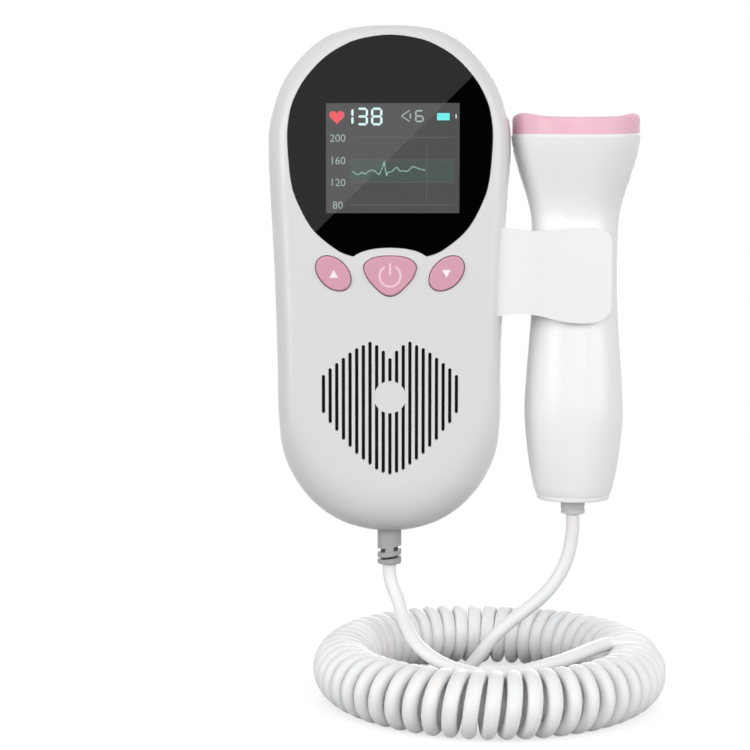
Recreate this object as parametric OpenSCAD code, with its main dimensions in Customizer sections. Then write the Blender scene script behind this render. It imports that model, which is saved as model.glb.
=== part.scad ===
// Hand-held fetal doppler: a display unit, an ultrasound probe held in a side clip, and a
// curly cord between them. The unit stands upright with its display facing -Y and +Z up.
// The origin is the centre of its flat rear face.

/* [Unit] */
// Width of the unit at its widest
body_w = 65.8; // [62:0.2:80]
// Height of the unit
body_h = 138; // [134:1:166]
// Depth of the front shell, ahead of the parting line
front_depth = 13; // [12.5:0.1:15.6]
// Depth of the rear shell, behind the parting line
rear_depth = 17; // [16.5:0.1:20.4]
// Thickness of the side walls
wall = 2; // [1.6:0.1:2.4]
// Thickness of the front face
front_wall = 2.4; // [2.2:0.1:2.9]
// Thickness of the rear face
rear_wall = 2.8; // [2.6:0.1:3.4]
// Width of the rounded edge at the sides and top of the front face
front_edge = 6; // [5:0.1:7.2]
// Height of the rounding at the bottom of the front face
chin = 13; // [9:0.5:14]
// Width of the rounded edge round the rear face
rear_edge = 8; // [6.6:0.1:8.4]

/* [Display] */
// Height of the black window
window_h = 58.5; // [56:0.5:60]
// Thickness of the window
window_t = 1.2; // [0.8:0.1:1.3]
// Distance from the side of the unit to the window
window_side = 5.75; // [5:0.25:7]
// Distance from the top of the unit to the window
window_top = 4.1; // [3.5:0.1:5]
// Width of the lit screen
screen_w = 35.6; // [30:0.2:36]
// Height of the lit screen
screen_h = 29.2; // [25:0.2:31]

/* [Buttons] */
// How far the buttons stand proud of the front face
button_proud = 0.7; // [0.4:0.1:1]
// How far a button travels when pressed
button_travel = 0.6; // [0.4:0.1:0.7]
// Gap round a button
button_gap = 0.22; // [0.18:0.02:0.3]
// Distance from the centre line to an arrow button
arrow_x = 15.1; // [14.6:0.1:16]

/* [Speaker] */
// Diameter of the speaker
speaker_d = 28; // [24:0.5:32]
// Distance between the slots of the grille
slot_pitch = 1.78; // [1.6:0.02:2.1]
// Width of a slot
slot_w = 0.9; // [0.7:0.05:1.1]

/* [Battery] */
// Diameter of a cell
cell_d = 14.2; // [13.5:0.1:17.2]
// Length of a cell without its button
cell_l = 49.2; // [44:0.2:50.5]
// Width of the ledge under each side of the battery door
door_ledge = 2.6; // [1.6:0.1:3.2]
// Thickness of the battery door
door_t = 1.6; // [1.2:0.1:2]

/* [Socket and screws] */
// Bore of the headphone socket
jack_bore = 3.6; // [3.5:0.1:3.8]
// Depth of the headphone socket
jack_depth = 14; // [12:0.5:15]
// Shank diameter of the case screws
screw_d = 2; // [1.6:0.1:2.4]

/* [Probe] */
// Diameter of the probe's head
head_d = 35.2; // [32:0.1:42.4]
// Gap between the unit and the probe's head
head_gap = 0.3; // [0.25:0.05:1]
// Wall of the probe's shell
probe_wall = 2; // [1.6:0.1:2.4]
// Depth of the dish across the probe's face
dish = 2.4; // [1.8:0.1:3]

/* [Probe clip] */
// How much wider the clip is inside than the probe's neck
clip_play = 1.1; // [0.9:0.1:2.6]
// Thickness of the arms
clip_arm = 2; // [1.6:0.1:2.4]
// How far the probe slides out of the clip
unclip_travel = 35; // [30:1:40]

/* [Cord] */
// Diameter of the cord
cord_d = 3.7; // [3.5:0.1:3.7]
// Diameter of the cord in the curls, where it is drawn slimmer so that no turn touches the next
curl_cord_d = 3.3; // [3:0.1:3.3]
// Outside diameter of the curls
curl_od = 17.5; // [16.5:0.1:17.5]
// Radius of the ring that the curls lie in
ring_r = 40.1; // [40.1:0.1:44]
// Turn of the ring from one curl to the next, in degrees
curl_step = 6.55; // [6.55:0.05:9]

/* [Hidden] */

$fn = 64;
slip = 0.1;                         // clearance between parts that are assembled together
pad = 1;                            // how far a cutter reaches past what it cuts
corner_steps = 3;                   // points between two knots of an outline
edge_steps = 6;                     // rings of points over a rounded edge
edge_power = 2.5;                   // how full the rounded edges are

parting_y = -rear_depth;
front_y = parting_y - front_depth;
front_inner_y = front_y + front_wall;
rear_inner_y = -rear_wall;
unit_top = body_h / 2;
unit_bottom = -body_h / 2;

// Half outline of the unit, as shares of its half width and half height, top to bottom
unit_knots = [[0, 1], [0.347, 0.985], [0.62, 0.923], [0.863, 0.79], [0.98, 0.633], [1, 0.507],
              [0.985, 0.32], [0.955, 0.03], [0.936, -0.26], [0.922, -0.55], [0.863, -0.717],
              [0.669, -0.867], [0.375, -0.966], [0, -1]];
// Half outline of the window, as shares of its half width and height, from its top down
window_knots = [[0, 0], [0.3, -0.02], [0.5, -0.06], [0.667, -0.115], [0.836, -0.203],
                [0.943, -0.296], [0.99, -0.385], [1, -0.485], [0.968, -0.653], [0.899, -0.757],
                [0.75, -0.878], [0.52, -0.968], [0.363, -0.998]];
notch_knots = [[0.36, -0.998], [0.27, -0.976], [0.14, -0.962], [0, -0.958]];
// Half outline of the power button, in millimetres from its centre
power_knots = [[0, 4.6], [2.8, 4.45], [5.2, 3.75], [6.7, 2.4], [6.9, 1], [5.9, -1.4],
               [4, -3.6], [2.1, -5.3], [0, -6]];
arrow_half = [5.4, 3.7];            // half axes of an arrow button
arrow_tilt = 45;

window_half = body_w / 2 - window_side;
window_top_z = unit_top - window_top;
window_bottom_z = window_top_z - window_h;
screen_x = 0.7;
screen_z = window_top_z - 32.4;
power_z = window_bottom_z - 4.4;
arrow_z = window_bottom_z - 4.4;
grille_z = window_bottom_z - 37.5;
board_face_y = front_inner_y + 2.5;
board_t = 1.6;
flange_t = 0.6;
flange_lip = 1;

// Upper and lower ends of the grille's slots from its centre, from the middle slot outwards
slot_tops = [10.5, 12.5, 14, 14.9, 14, 13.2, 12, 10.6, 9.2, 7.8, 6];
slot_bottoms = [-20.9, -20.4, -19.6, -18.2, -16.9, -15.3, -13.4, -11.5, -9.1, -7, -4.3];
grille_blank_r = 4.3;               // the plain disc in the middle of the grille

screw_seat_y = -9;                  // where the heads of the case screws bear
screw_head_t = 1.6;
cell_x = cell_d / 2 + 0.3;
cell_y = rear_inner_y - 0.7 - cell_d / 2;
cell_nub_l = 1.3;
cell_nub_d = 5.5;
bay_bottom_z = unit_bottom + 24;
contact_t = 0.5;
spring_l = 3;
cell_bottom_z = bay_bottom_z + contact_t + spring_l;
bay_top_z = cell_bottom_z + cell_l + cell_nub_l + contact_t;
bay_half_w = cell_d + 1.2;
bay_wall = 1.2;
door_bottom_z = bay_bottom_z - 3;
door_top_z = bay_top_z + 2.5;
door_gap = 0.2;
door_w = 2 * (bay_half_w + door_ledge);
hook_x = 10;
hook_w = 5;
hook_drop = 2;
hook_t = 1.5;
hook_depth = rear_wall + 0.3 + hook_t;
hook_sweep = norm([hook_depth, hook_t]) + 0.3;

jack_z = arrow_z + 3;
jack_d = 6;
jack_x = -body_w / 2 + 1.6;
jack_step = wall + 1.2;             // from the mouth of the socket to its body

head_r = head_d / 2;
probe_x = body_w / 2 + head_gap + head_r;
seam_z = 39.65;                     // the head's seam, at its two sides
seam_dish = dish / 2;
ring_top_z = 45.6;
ring_r_out = head_r - 0.3;
face_r = head_r - 2.4;
neck_in = 5.95;                     // how much thinner the probe's neck is than its head
probe_bottom_z = -60.1;
cap_top_z = -58.9;
// Outer profile of the probe's shell below its head: radius less the head's, and height
grip_knots = [[-0.75, 34.5], [-2.45, 28.5], [-4.4, 22.5], [-5.5, 17.5], [-5.9, 11], [-neck_in, 2],
              [-5.8, -6], [-5.4, -14], [-4.7, -23], [-4.2, -31], [-4.1, -37], [-4.6, -43.5],
              [-5.5, -50.5], [-6.7, -56.5], [-7.5, -58.9]];

clip_gap = 2 * (head_r - neck_in) + clip_play;
clip_left = body_w / 2 - 4.3;
clip_right = probe_x + 8.15;
clip_front_y = parting_y - clip_gap / 2 - clip_arm;
clip_rear_y = parting_y + clip_gap / 2 + clip_arm;
// Upper and lower edges of the clip, as shares of its reach from the unit, and heights
clip_top_knots = [[0, 14.3], [0.11, 14.1], [0.33, 13.3], [0.57, 13.9], [0.8, 14.2], [0.93, 13.3],
                  [0.985, 11.9], [1, 10]];
clip_bottom_knots = [[1, -6.4], [0.985, -8.4], [0.93, -10.2], [0.79, -11.3], [0.58, -10.9],
                     [0.38, -9.4], [0.19, -8.8], [0, -9.6]];
// Front face of the clip in plan: it leaves the unit's shoulder, dips, and crosses the probe
clip_face_knots = [[0, 1.9], [0.08, 2.9], [0.2, 2.7], [0.3, 1.2], [0.38, 0.3], [0.48, 0],
                   [0.75, 0], [1, 0.15]];

gland_r = 3.3;
unit_gland_end = unit_bottom - 9.3;
probe_gland_end = probe_bottom_z - 4.2;

// The surface that the ring of curls rests on, and the ring's centre
floor_z = -116;
ring_x = 27.6;
ring_y = -17;
curl_r = (curl_od - curl_cord_d) / 2;
ring_centre_z = floor_z + curl_od / 2;
ring_turn = 350.7;                  // how far round the ring there is room for curls
curls = floor(ring_turn / curl_step - 0.5) + 0.5;   // the last one ends half a turn on
curl_rings = 8;                     // rings of points to a curl
curl_sides = 6;
curl_start = 90;                     // where the first curl starts, round its own section
ring_start = -6;                    // where the first curl starts, round the ring

// Routes of the two straight leads, from each gland to its end of the curls
unit_route = [[0, -17, -78.3], [0, -17, -81], [0.8, -17.7, -84.5], [2.4, -19.6, -88.2],
              [3.9, -24, -92.8], [6.5, -30, -97], [10.7, -36, -99.9], [15.8, -41, -101.6],
              [20.9, -43.6, -102.5], [26.1, -44.6, -102.8], [31.3, -44.4, -102.6],
              [36.7, -42.8, -101.9], [42.1, -39.6, -101.3], [47.3, -35.2, -100.9],
              [51.6, -30, -100.7], [55.4, -24.8, -100.6]];
probe_route = [[50.8, -17, -64.3], [50.8, -17, -68.5], [50.3, -17, -73], [49, -17, -78],
               [46.4, -17, -83], [43, -17, -87.2], [38.8, -17, -90.8], [33.8, -17, -94.8],
               [29, -17, -99.2], [25.6, -17, -103.6], [22, -17.2, -108], [17.6, -17.4, -111.8],
               [12.4, -17, -113.8], [7, -14.6, -114], [3.6, -10, -114], [3.4, -4.6, -114],
               [6.6, -0.4, -114], [12, 1.6, -114], [19, 1.4, -114], [27, -1, -114],
               [35, -4.6, -114], [43, -8.6, -114], [50, -11.8, -114], [55.5, -13.4, -114]];

white = [0.93, 0.93, 0.92];
pink = [0.88, 0.6, 0.71];

// A smooth curve through knots, with the given number of steps between two of them
function spline_point(a, b, c, d, t) =
    0.5 * (2 * b + (c - a) * t + (2 * a - 5 * b + 4 * c - d) * t * t
           + (3 * b - a - 3 * c + d) * t * t * t);
function open_curve(k, steps) = concat(
    [for (i = [0 : len(k) - 2], s = [0 : steps - 1])
        spline_point(k[max(i - 1, 0)], k[i], k[i + 1], k[min(i + 2, len(k) - 1)], s / steps)],
    [k[len(k) - 1]]);

// A half outline from top to bottom, whose end tangents are level, turned into a closed one
function level_ends(k) = concat([[-k[1][0], k[1][1]]], k,
                                [[-k[len(k) - 2][0], k[len(k) - 2][1]]]);
function half_curve(k, steps) = let (e = level_ends(k)) concat(
    [for (i = [1 : len(e) - 3], s = [0 : steps - 1])
        spline_point(e[i - 1], e[i], e[i + 1], e[i + 2], s / steps)],
    [e[len(e) - 2]]);
function mirrored(half) = concat(
    half, [for (i = [len(half) - 2 : -1 : 1]) [-half[i][0], half[i][1]]]);

function unit_outline(half_w, half_h) =
    [for (p = mirrored(half_curve(unit_knots, corner_steps))) [p[0] * half_w, p[1] * half_h]];
function window_outline(grow) = let (
    side = half_curve(window_knots, corner_steps),
    under = open_curve(notch_knots, corner_steps),
    half = concat([for (i = [0 : len(side) - 2]) side[i]], under))
    [for (p = mirrored(half))
        [p[0] * (window_half + grow), window_top_z + grow + p[1] * (window_h + 2 * grow)]];
function power_outline(grow) =
    [for (p = mirrored(half_curve(power_knots, corner_steps)))
        [p[0] * (1 + grow / 6.9), p[1] * (1 + grow / 5.3)]];
function slot_outline(z0, z1) = [for (end = [0, 1], a = [0 : 30 : 180])
    let (turn = a + end * 180) [slot_w / 2 * cos(turn),
        (end == 0 ? z1 - slot_w / 2 : z0 + slot_w / 2) + slot_w / 2 * sin(turn)]];

// A rounded skin: the unit's outline on the plane Z = 0, drawn in towards a flat face by edge at
// its sides and top, and by its own rounding at the bottom
module skin(half_w, half_h, depth, edge, bottom_edge, below) {
    count = len(unit_outline(1, 1));
    levels = concat([[-below, 0]], [for (i = [0 : edge_steps])
        let (a = 90 * i / edge_steps)
        [depth * pow(sin(a), 2 / edge_power), 1 - pow(cos(a), 2 / edge_power)]]);
    rings = len(levels);
    points = [for (l = levels)
        let (drawn_in = (edge + bottom_edge) / 2 * l[1], lift = (bottom_edge - edge) / 2 * l[1])
        for (p = unit_outline(half_w - edge * l[1], half_h - drawn_in)) [p[0], p[1] + lift, l[0]]];
    sides = [for (r = [0 : rings - 2], i = [0 : count - 1], half = [0, 1])
        let (j = (i + 1) % count, a = r * count, b = a + count)
        half == 0 ? [a + i, b + i, b + j] : [a + i, b + j, a + j]];
    bottom = [for (i = [count - 1 : -1 : 0]) i];
    top = [for (i = [0 : count - 1]) (rings - 1) * count + i];
    polyhedron(points = points, faces = concat(sides, [top, bottom]), convexity = 4);
}

// Puts a shape that is drawn looking at the display, and rises towards the eye, at a depth
module facing(y) {
    translate([0, y, 0]) rotate([90, 0, 0]) children();
}
module to_rear(y) {
    translate([0, y, 0]) mirror([0, 1, 0]) rotate([90, 0, 0]) children();
}
module front_skin(inset, face, below) {
    facing(parting_y)
        skin(body_w / 2 - inset, body_h / 2 - inset, front_depth - face, front_edge, chin, below);
}
module rear_skin(inset, face, below) {
    to_rear(parting_y)
        skin(body_w / 2 - inset, body_h / 2 - inset, rear_depth - face, rear_edge, rear_edge,
             below);
}

// Places its children at the four case screws
module at_screws() {
    for (side = [-1, 1]) {
        translate([side * (body_w / 2 - 15.4), 0, unit_top - 11.5]) children();
        translate([side * (body_w / 2 - 10.2), 0, unit_bottom + 24]) children();
    }
}
module post(y0, y1, d) {
    translate([0, y0, 0]) rotate([90, 0, 0]) cylinder(d = d, h = y0 - y1);
}

module arrow_shape(side, grow) {
    translate([side * arrow_x, arrow_z]) rotate(side * arrow_tilt)
        scale([(arrow_half[0] + grow) / arrow_half[1], (arrow_half[1] + grow) / arrow_half[1]])
            circle(r = arrow_half[1]);
}
module power_shape(grow) {
    translate([0, power_z]) polygon(power_outline(grow));
}
module slot_rows() {
    for (side = [-1, 1], i = [0 : len(slot_tops) - 1]) if (i > 0 || side > 0) {
        x = side * i * slot_pitch;
        blank = i * slot_pitch < grille_blank_r
            ? sqrt(pow(grille_blank_r, 2) - pow(i * slot_pitch, 2)) : 0;
        translate([x, grille_z]) {
            if (blank > 0) {
                polygon(slot_outline(blank, slot_tops[i]));
                polygon(slot_outline(slot_bottoms[i], -blank));
            } else polygon(slot_outline(slot_bottoms[i], slot_tops[i]));
        }
    }
}

module front_shell() {
    color(white) {
        difference() {
            front_skin(0, 0, 0);
            front_skin(wall, front_wall, pad);
            facing(front_y + window_t + slip)
                linear_extrude(window_t + slip + pad) polygon(window_outline(slip));
            facing(front_inner_y + pad) linear_extrude(front_wall + 2 * pad) {
                power_shape(button_gap);
                translate([screen_x - screen_w / 2 - 1, screen_z - screen_h / 2 - 1])
                    square([screen_w + 2, screen_h + 2]);
            }
            for (side = [-1, 1]) facing(front_inner_y + pad)
                linear_extrude(front_wall + 2 * pad) arrow_shape(side, button_gap);
            facing(front_inner_y + pad) linear_extrude(front_wall + 2 * pad) slot_rows();
            translate([0, parting_y, unit_bottom - pad])
                cylinder(r = gland_r + slip, h = wall + 3);
            translate([-body_w / 2 - pad, parting_y, jack_z]) rotate([0, 90, 0])
                cylinder(d = jack_d + 2 * slip, h = 5);
        }
        at_screws() difference() {
            post(parting_y, front_inner_y - slip, 6);
            post(parting_y + pad, front_inner_y + 1.5, screw_d + slip);
        }
    }
}

module rear_shell() {
    bay_h = bay_top_z - bay_bottom_z;
    color(white) difference() {
        union() {
            difference() {
                rear_skin(0, 0, 0);
                rear_skin(wall, rear_wall, pad);
            }
            at_screws() post(rear_inner_y + slip, parting_y, 6.6);
            for (x = [-bay_half_w - bay_wall, bay_half_w])
                translate([x, parting_y, bay_bottom_z - bay_wall])
                    cube([bay_wall, -parting_y + rear_inner_y + slip, bay_h + 2 * bay_wall]);
            for (z = [bay_bottom_z - bay_wall, bay_top_z])
                translate([-bay_half_w, parting_y, z])
                    cube([2 * bay_half_w, -parting_y + rear_inner_y + slip, bay_wall]);
        }
        translate([-door_w / 2 - door_gap, -door_t - slip / 2, door_bottom_z - door_gap])
            cube([door_w + 2 * door_gap, door_t + pad, door_top_z - door_bottom_z + 2 * door_gap]);
        translate([-bay_half_w, rear_inner_y - slip, bay_bottom_z])
            cube([2 * bay_half_w, rear_wall + pad, bay_h]);
        for (side = [-1, 1]) translate([side * hook_x - hook_w / 2 - door_gap,
                                        -hook_sweep, door_bottom_z - door_gap])
            cube([hook_w + 2 * door_gap, hook_sweep + pad,
                  bay_bottom_z - door_bottom_z + door_gap + slip]);
        translate([-hook_w / 2 - 1, rear_inner_y - pad, door_top_z - 2])
            cube([hook_w + 2, rear_wall, 2 + door_gap]);
        at_screws() {
            post(pad, parting_y - pad, screw_d + 0.4);
            post(pad, screw_seat_y, screw_d * 2.2 + 0.6);
        }
        translate([0, parting_y, unit_bottom - pad]) cylinder(r = gland_r + slip, h = wall + 3);
        translate([-body_w / 2 - pad, parting_y, jack_z]) rotate([0, 90, 0])
            cylinder(d = jack_d + 2 * slip, h = 5);
        socket_block(slip);
        at_clip_screws() cylinder(d = screw_d + 0.3, h = 9, center = true);
    }
}

module display_window() {
    color([0.02, 0.02, 0.02]) facing(front_y + window_t + slip)
        linear_extrude(window_t) polygon(window_outline(0));
}

module lcd_block(w, h, y0, y1) {
    translate([screen_x - w / 2, y1, screen_z - h / 2]) cube([w, y0 - y1, h]);
}
module lcd_frame() {
    color([0.6, 0.61, 0.62]) difference() {
        intersection() {
            lcd_block(screen_w + 4.8, screen_h + 5.8, board_face_y, front_inner_y + slip);
            front_skin(wall, front_wall, 0);
        }
        lcd_block(screen_w + 2.6, screen_h + 3, front_inner_y + 1.5, front_inner_y - pad);
    }
}
module lcd_panel() {
    color([0.32, 0.32, 0.32])
        lcd_block(screen_w + 2.4, screen_h + 2.8, front_inner_y + 1.5, front_inner_y + slip);
}

module main_board() {
    board_bottom = arrow_z - 8;
    color([0.1, 0.35, 0.2]) difference() {
        intersection() {
            facing(board_face_y + board_t) linear_extrude(board_t)
                polygon(unit_outline(body_w / 2 - 6.5, body_h / 2 - 7));
            translate([-body_w / 2, front_y, board_bottom])
                cube([body_w, front_depth, unit_top - board_bottom]);
        }
        at_screws() post(0, front_y, 6.8);
    }
}
module board_chips() {
    chip_y = board_face_y + board_t;
    color([0.12, 0.12, 0.13]) {
        translate([-14, chip_y, screen_z - 4]) cube([10, 1.4, 10]);
        translate([2, chip_y, screen_z - 8]) cube([6, 1.5, 5]);
        translate([10, chip_y, screen_z + 2]) cube([4, 1.2, 5]);
        translate([13, chip_y, screen_z - 14]) rotate([-90, 0, 0]) cylinder(d = 5, h = 4.4);
    }
}
module key_switches() {
    for (p = [[0, power_z], [-arrow_x, arrow_z], [arrow_x, arrow_z]]) color([0.7, 0.7, 0.7])
        translate([p[0], board_face_y, p[1]]) {
            translate([-2.2, -0.9, -2.2]) cube([4.4, 0.9, 4.4]);
            rotate([90, 0, 0]) cylinder(d = 2.2, h = 1.1);
        }
}

module power_button() {
    color(pink) {
        facing(front_inner_y + slip) linear_extrude(front_wall + slip + button_proud)
            power_shape(0);
        facing(front_inner_y + slip + flange_t) linear_extrude(flange_t) power_shape(flange_lip);
    }
}
module arrow_button(side) {
    color(pink) {
        facing(front_inner_y + slip) linear_extrude(front_wall + slip + button_proud)
            arrow_shape(side, 0);
        facing(front_inner_y + slip + flange_t) linear_extrude(flange_t)
            arrow_shape(side, flange_lip);
    }
}
module up_button() { arrow_button(-1); }
module down_button() { arrow_button(1); }

speaker_y = front_inner_y + 0.5;    // the grille's cloth lies ahead of the speaker's rim
speaker_z = grille_z - 1.5;
module speaker_basket() {
    color([0.35, 0.35, 0.36]) translate([0, speaker_y, speaker_z]) rotate([-90, 0, 0])
        difference() {
            union() {
                cylinder(d = speaker_d, h = 1.6);
                translate([0, 0, 1.5])
                    cylinder(d1 = speaker_d - 1.6, d2 = speaker_d / 2 + 3, h = 2.9);
            }
            translate([0, 0, -pad]) cylinder(d = speaker_d - 4, h = pad + 1.6);
            translate([0, 0, 1.5]) cylinder(d1 = speaker_d - 4, d2 = speaker_d / 2 + 1, h = 2);
            cylinder(d = speaker_d / 2, h = 5);
        }
}
module speaker_cone() {
    color([0.08, 0.08, 0.08]) translate([0, speaker_y, speaker_z]) rotate([-90, 0, 0])
        difference() {
            cylinder(d = speaker_d - 4.1, h = 1.4);
            translate([0, 0, -pad]) cylinder(d = speaker_d - 7, h = pad + 0.8);
        }
}
module speaker_magnet() {
    color([0.45, 0.46, 0.48]) translate([0, speaker_y + 1.5, speaker_z]) rotate([-90, 0, 0])
        cylinder(d = speaker_d / 2 - 0.2, h = 4);
}
module grille_cloth() {
    color([0.05, 0.05, 0.05]) translate([0, front_inner_y, grille_z - 2.2]) rotate([-90, 0, 0])
        cylinder(r = 20.3, h = 0.4);
}

module battery_cells() {
    color([0.25, 0.4, 0.6]) for (side = [-1, 1])
        translate([side * cell_x, cell_y, cell_bottom_z]) {
            cylinder(d = cell_d, h = cell_l);
            translate([0, 0, cell_l]) cylinder(d = cell_nub_d, h = cell_nub_l);
        }
}
module battery_contacts() {
    color([0.75, 0.76, 0.78]) {
        for (side = [-1, 1]) translate([side * cell_x, cell_y, bay_bottom_z + contact_t])
            cylinder(d1 = 8, d2 = 5, h = spring_l);
        for (z = [bay_bottom_z, bay_top_z - contact_t])
            translate([-bay_half_w + 0.1, cell_y - 5.5, z])
                cube([2 * bay_half_w - 0.2, 11, contact_t]);
    }
}
module battery_door() {
    color(white) {
        translate([-door_w / 2, -door_t, door_bottom_z])
            cube([door_w, door_t, door_top_z - door_bottom_z]);
        for (side = [-1, 1]) translate([side * hook_x - hook_w / 2, 0, door_bottom_z]) {
            translate([0, -hook_depth, 0]) cube([hook_w, hook_depth - door_t, hook_t]);
            translate([0, -hook_depth, -hook_drop])
                cube([hook_w, hook_t, hook_drop + hook_t]);
        }
        for (i = [0 : 4]) translate([-7, -0.2, door_top_z - 5 - 1.6 * i]) cube([14, 0.7, 0.7]);
        translate([-hook_w / 2, rear_inner_y + 0.4, door_top_z - 1.4])
            cube([hook_w, rear_wall - 0.4 - door_t, 1.4]);
    }
}

// The body of the headphone socket, behind the side wall
module socket_block(grow) {
    translate([jack_x + jack_step - grow, parting_y - 3.6 - grow, jack_z - 3.6 - grow])
        cube([jack_depth - jack_step + 2 * grow, 7.2 + 2 * grow, 7.2 + 2 * grow]);
}
module headphone_socket() {
    color([0.15, 0.15, 0.16]) difference() {
        union() {
            translate([jack_x, parting_y, jack_z]) rotate([0, 90, 0])
                cylinder(d = jack_d, h = jack_depth);
            socket_block(0);
        }
        translate([jack_x - pad, parting_y, jack_z]) rotate([0, 90, 0])
            cylinder(d = jack_bore, h = jack_depth - 1 + pad);
    }
}

module case_screws() {
    color([0.6, 0.6, 0.62]) at_screws() {
        post(screw_seat_y + screw_head_t, screw_seat_y, screw_d * 2.2);
        post(screw_seat_y + slip, front_inner_y + 2.2, screw_d);
    }
}

module at_clip_screws() {
    for (z = [-5, 8]) translate([body_w / 2 - 2.5, parting_y + 4, z]) rotate([0, 90, 0])
        children();
}

// The clip is a fork: a front and a rear arm either side of the probe's neck
module probe_clip() {
    reach = clip_right - clip_left;
    outline = [for (p = concat(open_curve(clip_top_knots, corner_steps),
                               open_curve(clip_bottom_knots, corner_steps)))
        [clip_left + reach * p[0], p[1]]];
    plan = concat([for (p = open_curve(clip_face_knots, corner_steps))
                      [clip_left + reach * p[0], clip_front_y + p[1]]],
                  [[clip_right, clip_rear_y], [clip_left, clip_rear_y]]);
    color(white) difference() {
        intersection() {
            translate([0, 0, -20]) linear_extrude(40) polygon(plan);
            facing(0) linear_extrude(-clip_front_y + pad) polygon(outline);
        }
        translate([probe_x, parting_y, -30]) cylinder(d = clip_gap, h = 60);
        translate([probe_x, parting_y - clip_gap / 2, -30]) cube([head_r + 5, clip_gap, 60]);
        front_skin(0, 0, 0);
        rear_skin(0, 0, 0);
        at_clip_screws() cylinder(d = screw_d + slip, h = 8.5);
    }
}
module clip_screws() {
    color([0.6, 0.6, 0.62]) at_clip_screws() {
        cylinder(d = screw_d, h = 8);
        translate([0, 0, -1.7 - wall]) cylinder(d = 4, h = 1.6);
        translate([0, 0, -wall - 0.5]) cylinder(d = screw_d, h = wall + 1);
    }
}

// A moulded strain relief: a plain barrel, then a waist with two bridges, then a waisted end
module strain_relief(length, plain) {
    end_l = length - plain;
    difference() {
        union() {
            translate([0, 0, -plain]) cylinder(r = gland_r, h = plain);
            translate([0, 0, -length]) cylinder(r1 = gland_r - 0.7, r2 = gland_r, h = end_l);
        }
        translate([0, 0, -plain - end_l * 0.36]) difference() {
            cylinder(r = gland_r + 1, h = end_l * 0.2);
            translate([0, 0, -pad]) cylinder(r = gland_r - 0.9, h = end_l);
            cube([2.2, 3 * gland_r, end_l], center = true);
        }
        translate([0, 0, -plain - end_l * 0.76]) difference() {
            cylinder(r = gland_r + 1, h = end_l * 0.16);
            translate([0, 0, -pad]) cylinder(r = gland_r - 1, h = end_l);
        }
    }
}
module unit_strain_relief() {
    color([0.86, 0.86, 0.86]) translate([0, parting_y, unit_bottom]) {
        translate([0, 0, wall + 0.7]) cylinder(r = 4.4, h = 1.4);
        cylinder(r = gland_r, h = wall + 1);
        strain_relief(unit_bottom - unit_gland_end, 4.5);
    }
}

// A cylinder lying along Y whose lowest line is at height z: it cuts the probe's dish
module dish_cutter(z, sag) {
    r = (head_r * head_r + sag * sag) / (2 * sag);
    translate([probe_x, parting_y + 30, z + r]) rotate([90, 0, 0])
        cylinder(r = r, h = 60, $fn = 256);
}
module probe_profile(inset) {
    outer = concat([[head_r - inset, seam_z + pad]],
                   [[head_r - inset, seam_z - 1]],
                   [for (p = open_curve(grip_knots, 2)) [head_r + p[0] - inset, p[1]]]);
    polygon(concat([[0, seam_z + pad]], outer, [[0, cap_top_z]]));
}
module on_probe() {
    translate([probe_x, parting_y, 0]) children();
}
module probe_shell() {
    color(white) difference() {
        on_probe() difference() {
            rotate_extrude($fn = 128) probe_profile(0);
            rotate_extrude($fn = 128) probe_profile(probe_wall);
            translate([0, 0, cap_top_z - pad]) cylinder(r = 8.1, h = 6);
            translate([0, 0, 34.4]) cylinder(r = head_r - probe_wall, h = 10);
        }
        dish_cutter(seam_z - seam_dish, seam_dish);
    }
}
module probe_ring() {
    spigot_r = head_r - probe_wall - slip;
    color(pink) difference() {
        on_probe() difference() {
            union() {
                translate([0, 0, 34.5]) cylinder(r = spigot_r, h = 5);
                intersection() {
                    cylinder(r = ring_r_out, h = ring_top_z);
                    translate([-probe_x, -parting_y, 0])
                        dish_cutter(seam_z - seam_dish, seam_dish);
                }
            }
            translate([0, 0, 34]) cylinder(r = spigot_r - 1.5, h = 12);
            translate([0, 0, 38.2]) cylinder(r = face_r, h = 12);
        }
        dish_cutter(ring_top_z - dish, dish);
    }
}
module transducer_face() {
    color([0.95, 0.88, 0.9]) difference() {
        on_probe() translate([0, 0, 38.2]) cylinder(r = face_r - 0.05, h = 8);
        dish_cutter(ring_top_z - dish - 0.4, dish);
    }
}
piezo_t = 1;
module piezo_discs() {
    color([0.8, 0.75, 0.6]) on_probe() for (i = [0 : 6]) {
        r = i == 0 ? 0 : 8.6;
        translate([r * cos(60 * i), r * sin(60 * i), 38.2 - piezo_t])
            cylinder(r = 3.8, h = piezo_t);
    }
}
module piezo_backing() {
    color([0.3, 0.3, 0.32]) on_probe() translate([0, 0, 34.6])
        cylinder(r = head_r - probe_wall - 1.7, h = 38.2 - piezo_t - 34.6);
}
module probe_board() {
    half_w = sqrt(pow(head_r - neck_in - probe_wall - slip, 2) - 0.64);
    color([0.1, 0.35, 0.2]) on_probe() translate([-half_w, -0.8, -22])
        cube([2 * half_w, 1.6, 40]);
}
module probe_end_cap() {
    color(white) on_probe() difference() {
        union() {
            translate([0, 0, probe_bottom_z])
                cylinder(r1 = head_r - 7.8, r2 = head_r - 7.5, h = cap_top_z - probe_bottom_z);
            translate([0, 0, probe_bottom_z]) cylinder(r = 8, h = 5);
        }
        translate([0, 0, probe_bottom_z - pad]) cylinder(r = gland_r + slip, h = 8);
        translate([0, 0, probe_bottom_z + 2.4]) cylinder(r = 7, h = 8);
    }
}
module probe_strain_relief() {
    color([0.9, 0.9, 0.9]) on_probe() translate([0, 0, probe_bottom_z]) {
        translate([0, 0, 2.5]) cylinder(r = 4.6, h = 1.4);
        cylinder(r = gland_r, h = 2.6);
        strain_relief(probe_bottom_z - probe_gland_end, 1.2);
    }
}

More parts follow.
